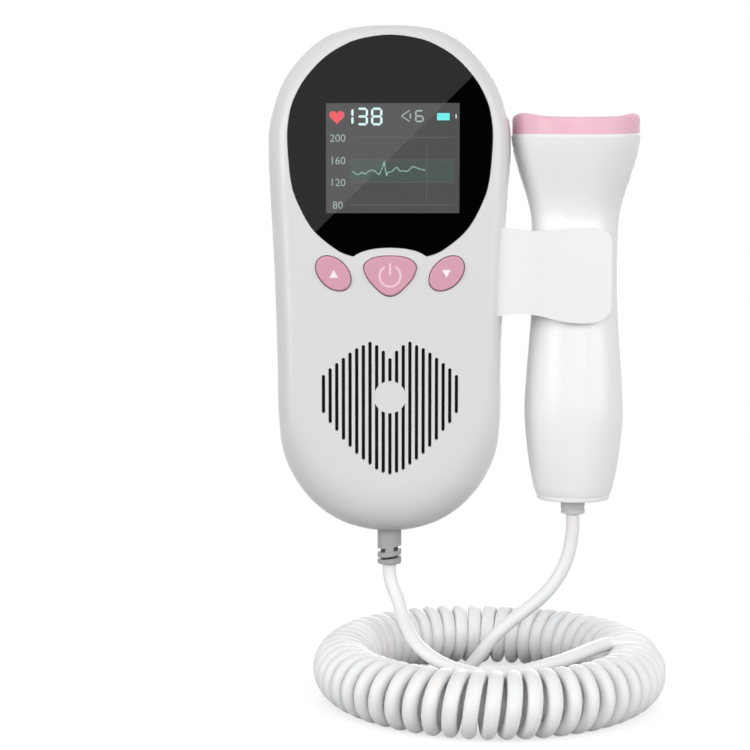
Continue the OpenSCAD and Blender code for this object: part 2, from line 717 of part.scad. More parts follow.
// A tube of flat-sided section along a row of points, without twist, closed at both ends. Its
// last two rings can have a diameter of their own, that of what it meets.
function unit_vector(v) = v / norm(v);
function along(points, i) = unit_vector(
    points[min(i + 1, len(points) - 1)] - points[max(i - 1, 0)]);
function square_to(v, t) = unit_vector(v - (v * t) * t);
module tube(points, d, sides, start_normal, end_d = 0) {
    count = len(points);
    normals = [for (i = 0, n = square_to(start_normal, along(points, 0)); i < count;
                    i = i + 1, n = i < count ? square_to(n, along(points, i)) : n) n];
    rim = [for (i = [0 : count - 1], s = [0 : sides - 1])
        let (t = along(points, i), n = normals[i], b = cross(t, n), a = 360 * s / sides,
             width = end_d > 0 && i > count - 3 ? end_d : d)
        points[i] + width / 2 * (cos(a) * n + sin(a) * b)];
    last = count * sides;
    faces = concat(
        [for (i = [0 : count - 2], s = [0 : sides - 1], half = [0, 1])
            let (u = i * sides + s, v = i * sides + (s + 1) % sides)
            half == 0 ? [u, u + sides, v + sides] : [u, v + sides, v]],
        [for (s = [0 : sides - 1]) [last, s, (s + 1) % sides]],
        [for (s = [0 : sides - 1])
            [last + 1, last - sides + (s + 1) % sides, last - sides + s]]);
    polyhedron(points = concat(rim, [points[0], points[count - 1]]), faces = faces,
               convexity = 10);
}

// A point on the curls, t curls from their start
function curl_point(t) = let (
    round_ring = ring_start - curl_step * t, round_curl = curl_start - 360 * t,
    r = ring_r + curl_r * cos(round_curl))
    [ring_x + r * cos(round_ring), ring_y + r * sin(round_ring),
     ring_centre_z + curl_r * sin(round_curl)];
function curl_run(t) = unit_vector(curl_point(t + 0.01) - curl_point(t - 0.01));
curl_count = round(curls * curl_rings);
curl_points = concat(
    [curl_point(0) - curl_cord_d * curl_run(0)],
    [for (i = [0 : curl_count]) curl_point(curls * i / curl_count)],
    [curl_point(curls) + curl_cord_d * curl_run(curls)]);
curl_end = curl_points[len(curl_points) - 1];

// The least gap of the curls to themselves, tried against the points of the next two curls
fine = 48;
function least_gap(t) = min([for (s = [-fine / 4 : fine / 4], turn = [1, 2])
    norm(curl_point(t) - curl_point(t + turn + s / fine))]) - curl_cord_d;
echo(least_gap = min([for (i = [0 : fine - 1]) least_gap(3 + i / fine)]));
echo(curl_start = curl_points[0], curl_end = curl_end);

// The last points of a lead lie in line with the straight end of the curls that it meets
straight = 3;
module cord_lead_unit() {
    meet = curl_points[0];
    color([0.92, 0.92, 0.92])
        tube(concat(unit_route, [meet - straight * curl_run(0), meet]), cord_d, 8, [1, 0, 0],
             curl_cord_d);
}
module cord_curls() {
    color([0.92, 0.92, 0.92]) tube(curl_points, curl_cord_d, curl_sides, [0, 0, 1]);
}
module cord_lead_probe() {
    color([0.92, 0.92, 0.92])
        tube(concat(probe_route, [curl_end + straight * curl_run(curls), curl_end]), cord_d, 8,
             [1, 0, 0], curl_cord_d);
}

front_shell();
rear_shell();
display_window();
lcd_frame();
lcd_panel();
main_board();
board_chips();
key_switches();
power_button();
up_button();
down_button();
speaker_basket();
speaker_cone();
speaker_magnet();
grille_cloth();
battery_cells();
battery_contacts();
battery_door();
headphone_socket();
case_screws();
probe_clip();
clip_screws();
unit_strain_relief();
probe_shell();
probe_ring();
transducer_face();
piezo_discs();
piezo_backing();
probe_board();
probe_end_cap();
probe_strain_relief();
cord_lead_unit();
cord_curls();
cord_lead_probe();
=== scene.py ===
"""Hand-held fetal doppler: a display unit, a probe in its side clip and a curly cord.

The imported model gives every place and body. This script gives the object its looks: smooth
shells, softened edges, a glazed screen, cords at their real length, and a plain studio.
All shapes are worked out in millimetres, and become metres when a piece is made.
"""

from __future__ import annotations

import logging
import math
from dataclasses import dataclass
from enum import Enum
from typing import Any, Callable, Iterable, Sequence

import bmesh
import bpy
from mathutils import Matrix, Vector

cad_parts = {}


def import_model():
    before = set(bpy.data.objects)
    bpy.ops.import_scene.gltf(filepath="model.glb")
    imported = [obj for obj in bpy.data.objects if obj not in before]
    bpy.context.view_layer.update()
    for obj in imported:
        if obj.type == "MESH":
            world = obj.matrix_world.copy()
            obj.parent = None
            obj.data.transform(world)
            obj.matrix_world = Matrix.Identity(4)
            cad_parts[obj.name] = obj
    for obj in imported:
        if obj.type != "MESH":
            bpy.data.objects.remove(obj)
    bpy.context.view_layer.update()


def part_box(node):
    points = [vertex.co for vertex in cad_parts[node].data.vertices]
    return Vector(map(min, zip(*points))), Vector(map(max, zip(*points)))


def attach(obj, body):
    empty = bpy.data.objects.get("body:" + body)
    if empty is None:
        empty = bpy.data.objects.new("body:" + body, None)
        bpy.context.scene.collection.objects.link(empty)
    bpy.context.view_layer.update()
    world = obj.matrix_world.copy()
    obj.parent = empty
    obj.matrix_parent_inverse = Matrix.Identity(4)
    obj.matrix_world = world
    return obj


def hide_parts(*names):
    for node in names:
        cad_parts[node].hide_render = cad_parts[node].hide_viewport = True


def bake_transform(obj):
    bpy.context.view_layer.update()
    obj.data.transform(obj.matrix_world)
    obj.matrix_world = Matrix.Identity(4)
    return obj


log = logging.getLogger("doppler")

Point2 = tuple[float, float]
MM = 0.001
SLIP = 0.1  # clearance between parts that are assembled together
PAD = 1.0  # how far a cutter reaches past what it cuts
FINE_SIDES = 128  # steps round the probe
CREASE = 40  # degrees; the edges of shells, window and keys that are sharper get rounded


# ---------------------------------------------------------------- curves and outlines


def spline_point(a: Sequence[float], b: Sequence[float], c: Sequence[float],
                 d: Sequence[float], t: float) -> tuple[float, ...]:
    """A point on the smooth curve from b to c.

    Args:
        a: The knot before b.
        b: The knot where the stretch starts.
        c: The knot where it ends.
        d: The knot after c.
        t: How far along the stretch, from 0 to 1.

    Returns:
        The point, with as many numbers as a knot has.
    """
    return tuple(
        0.5 * (2 * q + (r - p) * t + (2 * p - 5 * q + 4 * r - s) * t * t
               + (3 * q - p - 3 * r + s) * t ** 3)
        for p, q, r, s in zip(a, b, c, d)
    )


def open_curve(knots: Sequence[Sequence[float]], steps: int) -> list[tuple[float, ...]]:
    """A smooth open curve through knots.

    Args:
        knots: The knots, in order.
        steps: Number of steps between two knots.

    Returns:
        The points of the curve, its two ends included.
    """
    last = len(knots) - 1
    points = [
        spline_point(knots[max(i - 1, 0)], knots[i], knots[i + 1],
                     knots[min(i + 2, last)], s / steps)
        for i in range(last) for s in range(steps)
    ]
    return points + [tuple(knots[last])]


def half_curve(knots: Sequence[Point2], steps: int) -> list[Point2]:
    """The right half of an outline, from its top to its bottom, level at both.

    Args:
        knots: The knots on the right side, top first.
        steps: Number of steps between two knots.

    Returns:
        The points of the half outline.
    """
    ends = [(-knots[1][0], knots[1][1]), *knots, (-knots[-2][0], knots[-2][1])]
    points = [
        spline_point(ends[i - 1], ends[i], ends[i + 1], ends[i + 2], s / steps)
        for i in range(1, len(ends) - 2) for s in range(steps)
    ]
    return points + [ends[-2]]


def mirrored(half: Sequence[Point2]) -> list[Point2]:
    """A closed outline from its right half, whose two ends lie on the centre line."""
    return list(half) + [(-x, z) for x, z in reversed(half[1:-1])]


# ------------------------------------------------------------------------ mesh building


def block(low: Sequence[float], high: Sequence[float]) -> bmesh.types.BMesh:
    """A box between two corners, in millimetres."""
    bm = bmesh.new()
    size = Vector(high) - Vector(low)
    place = Matrix.Translation((Vector(low) + Vector(high)) / 2) @ Matrix.Diagonal((*size, 1))
    bmesh.ops.create_cube(bm, size=1, matrix=place)
    return bm


def rod(start: Sequence[float], end: Sequence[float], radius: float,
        sides: int = 64) -> bmesh.types.BMesh:
    """A cylinder between two points.

    Args:
        start: Centre of its first end.
        end: Centre of its second end.
        radius: Its radius.
        sides: Number of sides.

    Returns:
        The closed solid.
    """
    bm = bmesh.new()
    axis = Vector(end) - Vector(start)
    turn = axis.to_track_quat("Z", "Y").to_matrix().to_4x4()
    place = Matrix.Translation((Vector(start) + Vector(end)) / 2) @ turn
    bmesh.ops.create_cone(bm, cap_ends=True, segments=sides, radius1=radius, radius2=radius,
                          depth=axis.length, matrix=place)
    return bm


def flat_face(bm: bmesh.types.BMesh, outline: Iterable[Point2], y: float) -> bmesh.types.BMFace:
    """A flat face at depth y whose corners are given as x and z."""
    return bm.faces.new([bm.verts.new((x, y, z)) for x, z in outline])


def draw_out(bm: bmesh.types.BMesh, face: bmesh.types.BMFace, move: Vector,
             scale: Point2 = (1, 1), centre: Point2 = (0, 0)) -> bmesh.types.BMFace:
    """Extrudes one face along a move, and scales what it becomes.

    Args:
        bm: The mesh.
        face: The face to extrude.
        move: How far the new face moves.
        scale: Scale of the new face along x and z.
        centre: The x and z that the scale leaves in place.

    Returns:
        The new face.
    """
    has_walls = all(len(edge.link_faces) == 2 for edge in face.edges)
    grown = bmesh.ops.extrude_face_region(bm, geom=[face])["geom"]
    cap = next(g for g in grown if isinstance(g, bmesh.types.BMFace))
    if has_walls:
        bmesh.ops.delete(bm, geom=[face], context="FACES_ONLY")
    corners = list(cap.verts)
    place = Matrix.Translation((-centre[0], 0, -centre[1]))
    bmesh.ops.scale(bm, vec=(scale[0], 1, scale[1]), space=place, verts=corners)
    bmesh.ops.translate(bm, vec=move, verts=corners)
    return cap


def prism(outline: Iterable[Point2], y0: float, y1: float) -> bmesh.types.BMesh:
    """An outline in x and z, extruded from depth y0 to depth y1."""
    bm = bmesh.new()
    draw_out(bm, flat_face(bm, outline, y0), Vector((0, y1 - y0, 0)))
    return bm


def turned(profile: Sequence[Point2], x: float, y: float) -> bmesh.types.BMesh:
    """A closed profile of radius and height, spun round an upright axis.

    Args:
        profile: The profile's corners in order, as radius and height.
        x: Where the axis stands.
        y: Where the axis stands.

    Returns:
        The closed solid.
    """
    bm = bmesh.new()
    corners = [bm.verts.new((x + r, y, z)) for r, z in profile]
    edges = [bm.edges.new((a, b)) for a, b in zip(corners, corners[1:] + corners[:1])]
    bmesh.ops.spin(bm, geom=corners + edges, cent=(x, y, 0), axis=(0, 0, 1),
                   angle=2 * math.pi, steps=FINE_SIDES, use_merge=True)
    bmesh.ops.remove_doubles(bm, verts=bm.verts, dist=1e-4)
    return bm


def poured(name: str, bm: bmesh.types.BMesh) -> bpy.types.Mesh:
    """A new mesh filled from a bmesh, which is used up."""
    mesh = bpy.data.meshes.new(name)
    bm.to_mesh(mesh)
    bm.free()
    return mesh


def gathered(parts: Iterable[bmesh.types.BMesh]) -> bmesh.types.BMesh:
    """Several meshes as one, each still apart."""
    whole = bmesh.new()
    for part in parts:
        mesh = poured("part", part)
        whole.from_mesh(mesh)
        bpy.data.meshes.remove(mesh)
    return whole


def placed(name: str, data: bpy.types.ID) -> bpy.types.Object:
    """A new object in the scene that holds this data."""
    made = bpy.data.objects.new(name, data)
    bpy.context.scene.collection.objects.link(made)
    return made


def evaluated(obj: bpy.types.Object) -> bpy.types.Mesh:
    """A new mesh of an object as its modifiers or its curve make it."""
    graph = bpy.context.evaluated_depsgraph_get()
    return bpy.data.meshes.new_from_object(obj.evaluated_get(graph))


class Join(Enum):
    """How one solid acts on another."""

    CUT = "DIFFERENCE"
    ADD = "UNION"
    KEEP = "INTERSECT"


class Solid:
    """A closed mesh in millimetres, shaped by booleans and bevels until it becomes a piece."""

    def __init__(self, bm: bmesh.types.BMesh) -> None:
        """Takes a mesh over, and turns its faces outwards."""
        bmesh.ops.recalc_face_normals(bm, faces=bm.faces)
        self.obj = placed("solid", poured("solid", bm))

    def settle(self) -> Solid:
        """Applies the solid's modifiers to its mesh."""
        made, old = evaluated(self.obj), self.obj.data
        self.obj.modifiers.clear()
        self.obj.data = made
        bpy.data.meshes.remove(old)
        return self

    def combine(self, how: Join, other: bmesh.types.BMesh | Solid) -> None:
        """Cuts, adds or keeps what another solid fills.

        Args:
            how: What the other solid does.
            other: The other solid, which is used up.
        """
        tool = other if isinstance(other, Solid) else Solid(other)
        step = self.obj.modifiers.new("join", "BOOLEAN")
        step.operation = how.value
        step.solver = "EXACT"
        step.object = tool.obj
        self.settle()
        mesh = tool.obj.data
        bpy.data.objects.remove(tool.obj)
        bpy.data.meshes.remove(mesh)

    def soften(self, width: float, segments: int = 3, angle: float = 32) -> Solid:
        """Rounds the edges that are sharper than an angle.

        Args:
            width: Width of the rounding in millimetres.
            segments: Steps in the rounding.
            angle: The least angle, in degrees, of an edge that is rounded.

        Returns:
            This solid.
        """
        step = self.obj.modifiers.new("soften", "BEVEL")
        step.width = width
        step.segments = segments
        step.limit_method = "ANGLE"
        step.angle_limit = math.radians(angle)
        step.miter_outer = "MITER_ARC"
        step.use_clamp_overlap = True
        return self.settle()

    def warp(self, move: Callable[[Vector], Vector]) -> Solid:
        """Moves every point by a rule."""
        for v in self.obj.data.vertices:
            v.co = move(v.co)
        return self

    def piece(self, name: str, level: bool = True) -> bpy.types.Object:
        """Turns the solid into a finished object in metres.

        Args:
            name: Name of the piece.
            level: Whether its large flat faces keep level shading beside their rounded edges.

        Returns:
            The object, at the origin.
        """
        crisp = math.radians(35)  # edges sharper than this stay crisp
        self.obj.data.transform(Matrix.Scale(MM, 4))
        self.obj.data.shade_smooth()
        self.obj.data.set_sharp_from_angle(angle=crisp)
        if level:
            step = self.obj.modifiers.new("level_faces", "WEIGHTED_NORMAL")
            step.keep_sharp = True
            self.settle()
        self.obj.data.name = name
        self.obj.name = name
        return self.obj


def softened_node(node: str, width: float) -> Solid:
    """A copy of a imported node, merged to clean faces and softened along its edges.

    Args:
        node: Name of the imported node.
        width: Width of the rounding in millimetres.

    Returns:
        The solid, in millimetres.
    """
    weld, flat = 0.002, math.radians(0.5)
    bm = bmesh.new()
    bm.from_mesh(bpy.data.objects[node].data)
    bmesh.ops.scale(bm, vec=(1 / MM,) * 3, verts=bm.verts)
    bmesh.ops.remove_doubles(bm, verts=bm.verts, dist=weld)
    bmesh.ops.dissolve_degenerate(bm, dist=weld, edges=bm.edges)
    bmesh.ops.dissolve_limit(bm, angle_limit=flat, verts=bm.verts, edges=bm.edges)
    return Solid(bm).soften(width)


def corners(node: str) -> tuple[Vector, Vector]:
    """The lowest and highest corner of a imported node, in millimetres."""
    low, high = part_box(node)
    return low / MM, high / MM


# ----------------------------------------------------------------------------- finishes


WHITE = (1, 1, 1, 1)
NOISE_RANGE = (0.3, 0.7)  # where nearly all of a noise texture's values lie


def linear(colour: str) -> tuple[float, float, float, float]:
    """An sRGB hex colour as the linear colour that a shader takes."""
    parts = [int(colour[i:i + 2], 16) / 255 for i in (1, 3, 5)]
    red, green, blue = [c / 12.92 if c <= 0.04045 else ((c + 0.055) / 1.055) ** 2.4
                        for c in parts]
    return red, green, blue, 1.0


def add_node(tree: bpy.types.NodeTree, kind: str, inputs: dict[Any, Any] | None = None,
             **settings: Any) -> bpy.types.Node:
    """Adds one node with its settings and links.

    Args:
        tree: The tree that gets it.
        kind: Blender's name for the node's type.
        inputs: A value or a socket for each input that is set, by name or number.
        settings: The node's own properties.

    Returns:
        The node.
    """
    node = tree.nodes.new(kind)
    for name, value in settings.items():
        setattr(node, name, value)
    for name, value in (inputs or {}).items():
        if isinstance(value, bpy.types.NodeSocket):
            tree.links.new(value, node.inputs[name])
        else:
            node.inputs[name].default_value = value
    return node


def emptied(owner: bpy.types.Material | bpy.types.World) -> bpy.types.NodeTree:
    """The node tree of a material or a world, with nothing in it."""
    owner.use_nodes = True
    owner.node_tree.nodes.clear()
    return owner.node_tree


def ramp(tree: bpy.types.NodeTree, value: bpy.types.NodeSocket, start: Point2,
         to: Point2 = (0.0, 1.0)) -> bpy.types.NodeSocket:
    """Maps one range of a value to another, and holds its ends beyond them.

    Args:
        tree: The tree that gets the node.
        value: The value.
        start: The range that it is taken from.
        to: The range that it is mapped to.

    Returns:
        The mapped value.
    """
    return add_node(tree, "ShaderNodeMapRange", {
        "Value": value, "From Min": start[0], "From Max": start[1],
        "To Min": to[0], "To Max": to[1]}).outputs[0]


@dataclass(frozen=True)
class Finish:
    """A real material: two near colours that drift into each other, and a fine skin."""

    name: str
    colour: str
    drift: str  # the other colour of the drift
    rough: float
    rough_drift: float = 0.05
    drift_mm: float = 14.0  # size of a patch of the drift
    grain_mm: float = 0.5  # size of a grain of the skin
    grain_height_mm: float = 0.002
    metallic: float = 0.0
    ior: float = 1.5
    subsurface: float = 0.0
    subsurface_mm: float = 1.0
    coat: float = 0.0
    shine: float = 0.5  # how much it mirrors head on, 0.5 as its IOR gives
    lit: str = ""  # the colour it gives off by itself, if it does
    glow: float = 1.0

    def grain(self, tree: bpy.types.NodeTree, place: bpy.types.NodeSocket) -> bpy.types.NodeSocket:
        """The height of the skin's grain, as a socket from 0 to 1."""
        noise = add_node(tree, "ShaderNodeTexNoise", {
            "Vector": place, "Scale": 1 / (self.grain_mm * MM), "Detail": 3.0, "Roughness": 0.6})
        return noise.outputs["Fac"]

    def build(self) -> bpy.types.Material:
        """Makes the material with its nodes.

        Returns:
            The material.
        """
        made = bpy.data.materials.new(self.name)
        tree = emptied(made)
        place = add_node(tree, "ShaderNodeTexCoord").outputs["Object"]
        patches = add_node(tree, "ShaderNodeTexNoise", {
            "Vector": place, "Scale": 1 / (self.drift_mm * MM), "Detail": 4.0})
        tint = add_node(tree, "ShaderNodeMix", {
            0: patches.outputs["Fac"], 6: linear(self.colour), 7: linear(self.drift)},
            data_type="RGBA")
        rough = ramp(tree, patches.outputs["Fac"], NOISE_RANGE,
                     (max(self.rough - self.rough_drift, 0.0), self.rough + self.rough_drift))
        skin = add_node(tree, "ShaderNodeBump", {
            "Height": self.grain(tree, place), "Strength": 1.0,
            "Distance": self.grain_height_mm * MM})
        shader = add_node(tree, "ShaderNodeBsdfPrincipled", {
            "Base Color": tint.outputs[2], "Roughness": rough,
            "Normal": skin.outputs[0], "Metallic": self.metallic, "IOR": self.ior,
            "Subsurface Weight": self.subsurface, "Subsurface Scale": self.subsurface_mm * MM,
            "Coat Weight": self.coat, "Coat Roughness": 0.08,
            "Specular IOR Level": self.shine})
        if self.lit:
            shader.inputs["Emission Color"].default_value = linear(self.lit)
            shader.inputs["Emission Strength"].default_value = self.glow
        add_node(tree, "ShaderNodeOutputMaterial", {"Surface": shader.outputs[0]})
        return made


@dataclass(frozen=True)
class Glazing:
    """Clear acrylic: what lies behind it shows, and its face mirrors like polished plastic."""

    name: str
    ior: float = 1.32  # coated, so that it mirrors less than bare acrylic does

    def build(self) -> bpy.types.Material:
        """Makes the material with its nodes."""
        made = bpy.data.materials.new(self.name)
        made.use_nodes = True
        shader = made.node_tree.nodes["Principled BSDF"]
        shader.inputs["Base Color"].default_value = WHITE
        shader.inputs["Roughness"].default_value = 0.0
        shader.inputs["Transmission Weight"].default_value = 1.0
        shader.inputs["IOR"].default_value = self.ior
        return made


class Finishes(Enum):
    """Every material of the object."""

    # Injection-moulded ABS: an even, slightly cool white with a fine satin skin
    SHELL = Finish("moulded_abs_white", "#DDDDDD", "#D9D9D9", 0.36)
    # The probe's brighter ABS, polished in its mould
    PROBE = Finish("moulded_abs_bright", "#F4F4F4", "#F1F1F1", 0.34)
    # The clip is thin polypropylene, which light enters a little
    CLIP = Finish("moulded_polypropylene", "#EFEFEF", "#ECECEC", 0.38)
    # Moulded ABS coloured through, with a satin face
    KEY = Finish("moulded_abs_pink", "#D89DB0", "#D498AB", 0.38)
    # Soft TPE over the probe's rim, which light enters
    RING = Finish("moulded_tpe_pink", "#F0BFCF", "#ECB7C9", 0.42, drift_mm=9, subsurface=0.2,
                  subsurface_mm=1.2)
    # Silicone rubber, matt and a little cloudy
    FACE = Finish("cast_silicone", "#F3E6E9", "#EEDEE2", 0.55, subsurface=0.3, subsurface_mm=1.5)
    # Pad-printing ink, matt white
    INK = Finish("printed_ink_white", "#FBF3F5", "#F6ECEF", 0.6, grain_mm=0.15)
    INK_SOFT = Finish("printed_ink_rose", "#F1CBD6", "#EDC4D0", 0.6, grain_mm=0.15)
    # Acrylic with black ink behind it: deep black under a mirror-smooth face
    WINDOW = Finish("acrylic_black_backed", "#030303", "#020202", 0.01, 0.0, grain_height_mm=0.0,
                    ior=1.49)
    GLASS = Glazing("acrylic_clear")
    # The screen's polariser swallows what falls on it; its backlight greys the darkest pixels
    SCREEN = Finish("lcd_backlit", "#0A0A0A", "#0C0C0C", 0.5, shine=0.0, lit="#565656", glow=0.93)
    # Soft PVC jacket, extruded: satin, with a faint waviness along it
    CORD = Finish("extruded_pvc", "#EFEFEF", "#EBEBEB", 0.42, grain_mm=1.4, grain_height_mm=0.02,
                  subsurface=0.1, subsurface_mm=0.8)
    # Moulded PVC over the cord's ends, matt; its darker grey is partly its own and partly painted
    # shade from the unit above it
    RELIEF = Finish("moulded_pvc", "#A4A4A4", "#9E9E9E", 0.5, grain_height_mm=0.006)
    RELIEF_PALE = Finish("moulded_pvc_pale", "#D6D6D6", "#D0D0D0", 0.5, grain_height_mm=0.006)
    # Woven polyester scrim behind the grille
    CLOTH = Finish("woven_scrim", "#0B0B0B", "#141414", 0.9, grain_mm=0.3, grain_height_mm=0.05)
    # Zinc-plated screws, bright under a fine haze
    STEEL = Finish("zinc_plated_steel", "#B9BABD", "#AFB0B4", 0.32, metallic=1.0, drift_mm=2,
                   grain_mm=0.2)
    # Phenolic and nylon parts that are moulded black; the unit relief's core takes it too, as
    # painted shade deep in its notches
    BLACK = Finish("moulded_nylon_black", "#1A1A1B", "#202022", 0.45)
    # Printed shrink sleeve of a cell
    SLEEVE = Finish("shrink_sleeve", "#3C5F8C", "#375884", 0.3, coat=0.4)
    # Glass-fibre board under green solder mask
    BOARD = Finish("solder_mask_green", "#1E5B34", "#24663B", 0.35, grain_mm=0.25)
    # Pressed paper of the loudspeaker's cone
    PAPER = Finish("pressed_paper", "#1B1B1C", "#242425", 0.85, grain_mm=0.4,
                   grain_height_mm=0.03)
    # Sintered piezo ceramic, chalky
    CERAMIC = Finish("sintered_ceramic", "#CFC39B", "#C6B98E", 0.7)
    # Epoxy loaded with tungsten, a dull grey
    BACKING = Finish("loaded_epoxy", "#4A4A4D", "#525255", 0.6)

    def material(self) -> bpy.types.Material:
        """This finish's material, made once."""
        return bpy.data.materials.get(self.value.name) or self.value.build()


def dress(piece: bpy.types.Object, finish: Finishes) -> None:
    """Gives a whole piece one finish."""
    piece.data.materials.clear()
    piece.data.materials.append(finish.material())


def fit(piece: bpy.types.Object, body: str, slot: str, finish: Finishes, *nodes: str) -> None:
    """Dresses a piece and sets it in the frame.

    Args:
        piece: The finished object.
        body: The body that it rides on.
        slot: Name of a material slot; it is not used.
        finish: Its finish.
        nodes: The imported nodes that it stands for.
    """
    dress(piece, finish)
    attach(piece, body)
    if nodes:
        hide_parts(*nodes)
    log.info("%s: %d faces on %s", piece.name, len(piece.data.polygons), body)


# ------------------------------------------------------------------------- the reliefs


@dataclass(frozen=True)
class Notch:
    """A notch round a relief: how far its middle lies below the housing, and its height."""

    drop: float
    height: float
    bridged: bool  # whether a bridge crosses it in front and behind


@dataclass
class Relief:
    """A moulded sleeve round an end of the cord, with leaning notches down to its core, whose
    finish can paint the shade deep in the notches.
    """

    name: str
    body: str
    node: str
    top: float  # height of the housing's face that the sleeve comes out of
    length: float
    notches: tuple[Notch, ...]
    core_r: float
    # the core's finish; a dark one is painted shade deep in the notches
    finish: Finishes
    core_shade_finish: Finishes
    radius: float = 3.3
    bridge: float = 2.3
    lean: float = 7.5  # how far the notches lean, in degrees, their right side up
    flange_t: float = 1.4
    lip: float = 0.6  # what is left of the sleeve below its bore
    bore_top: float = 1.0  # how far the bore ends below the housing's face
    play: float = 0.05  # between the core and the bore's two ends

    def cutter(self, notch: Notch, x: float, y: float) -> Solid:
        """The leaning disc that cuts a notch, without its bridges."""
        a = math.radians(self.lean)
        half = Vector((-math.sin(a), 0, math.cos(a))) * notch.height / 2
        middle = Vector((x, y, self.top - notch.drop))
        disc = Solid(rod(middle - half, middle + half, self.radius + PAD))
        if notch.bridged:
            reach = Vector((self.bridge / 2, 9, 3))
            disc.combine(Join.CUT, block(middle - reach, middle + reach))
        return disc

    def build(self) -> None:
        """Makes the sleeve, its flange inside the housing, and the core, whose finish paints the
        notches' shade where it is dark.
        """
        low, high = corners(self.node)
        x, y = (low.x + high.x) / 2, (low.y + high.y) / 2
        bottom = self.top - self.length
        bore_low, bore_high = bottom + self.lip, self.top - self.bore_top
        sleeve = Solid(rod((x, y, bottom), (x, y, high.z - self.flange_t / 2), self.radius))
        sleeve.soften(0.35, 4)
        sleeve.combine(Join.CUT, rod((x, y, bore_low), (x, y, bore_high), self.core_r))
        for notch in self.notches:
            sleeve.combine(Join.CUT, self.cutter(notch, x, y))
        sleeve.combine(Join.ADD, rod((x, y, high.z - self.flange_t), (x, y, high.z),
                                     (high.x - low.x) / 2))
        fit(sleeve.piece(self.name), self.body, "relief_rubber", self.finish, self.node)
        # the core: where its finish is dark, it is painted shade seen through the notches
        core = Solid(rod((x, y, bore_low + self.play), (x, y, bore_high - self.play),
                         self.core_r - 0.02))
        fit(core.soften(0.1, 2).piece(f"{self.name}_core"), self.body, "relief_rubber",
            self.core_shade_finish)


# --------------------------------------------------------------------------- the shells


@dataclass
class Rounding:
    """How a shell's walls draw in towards its flat face."""

    depth: float
    edge: float
    bottom_edge: float


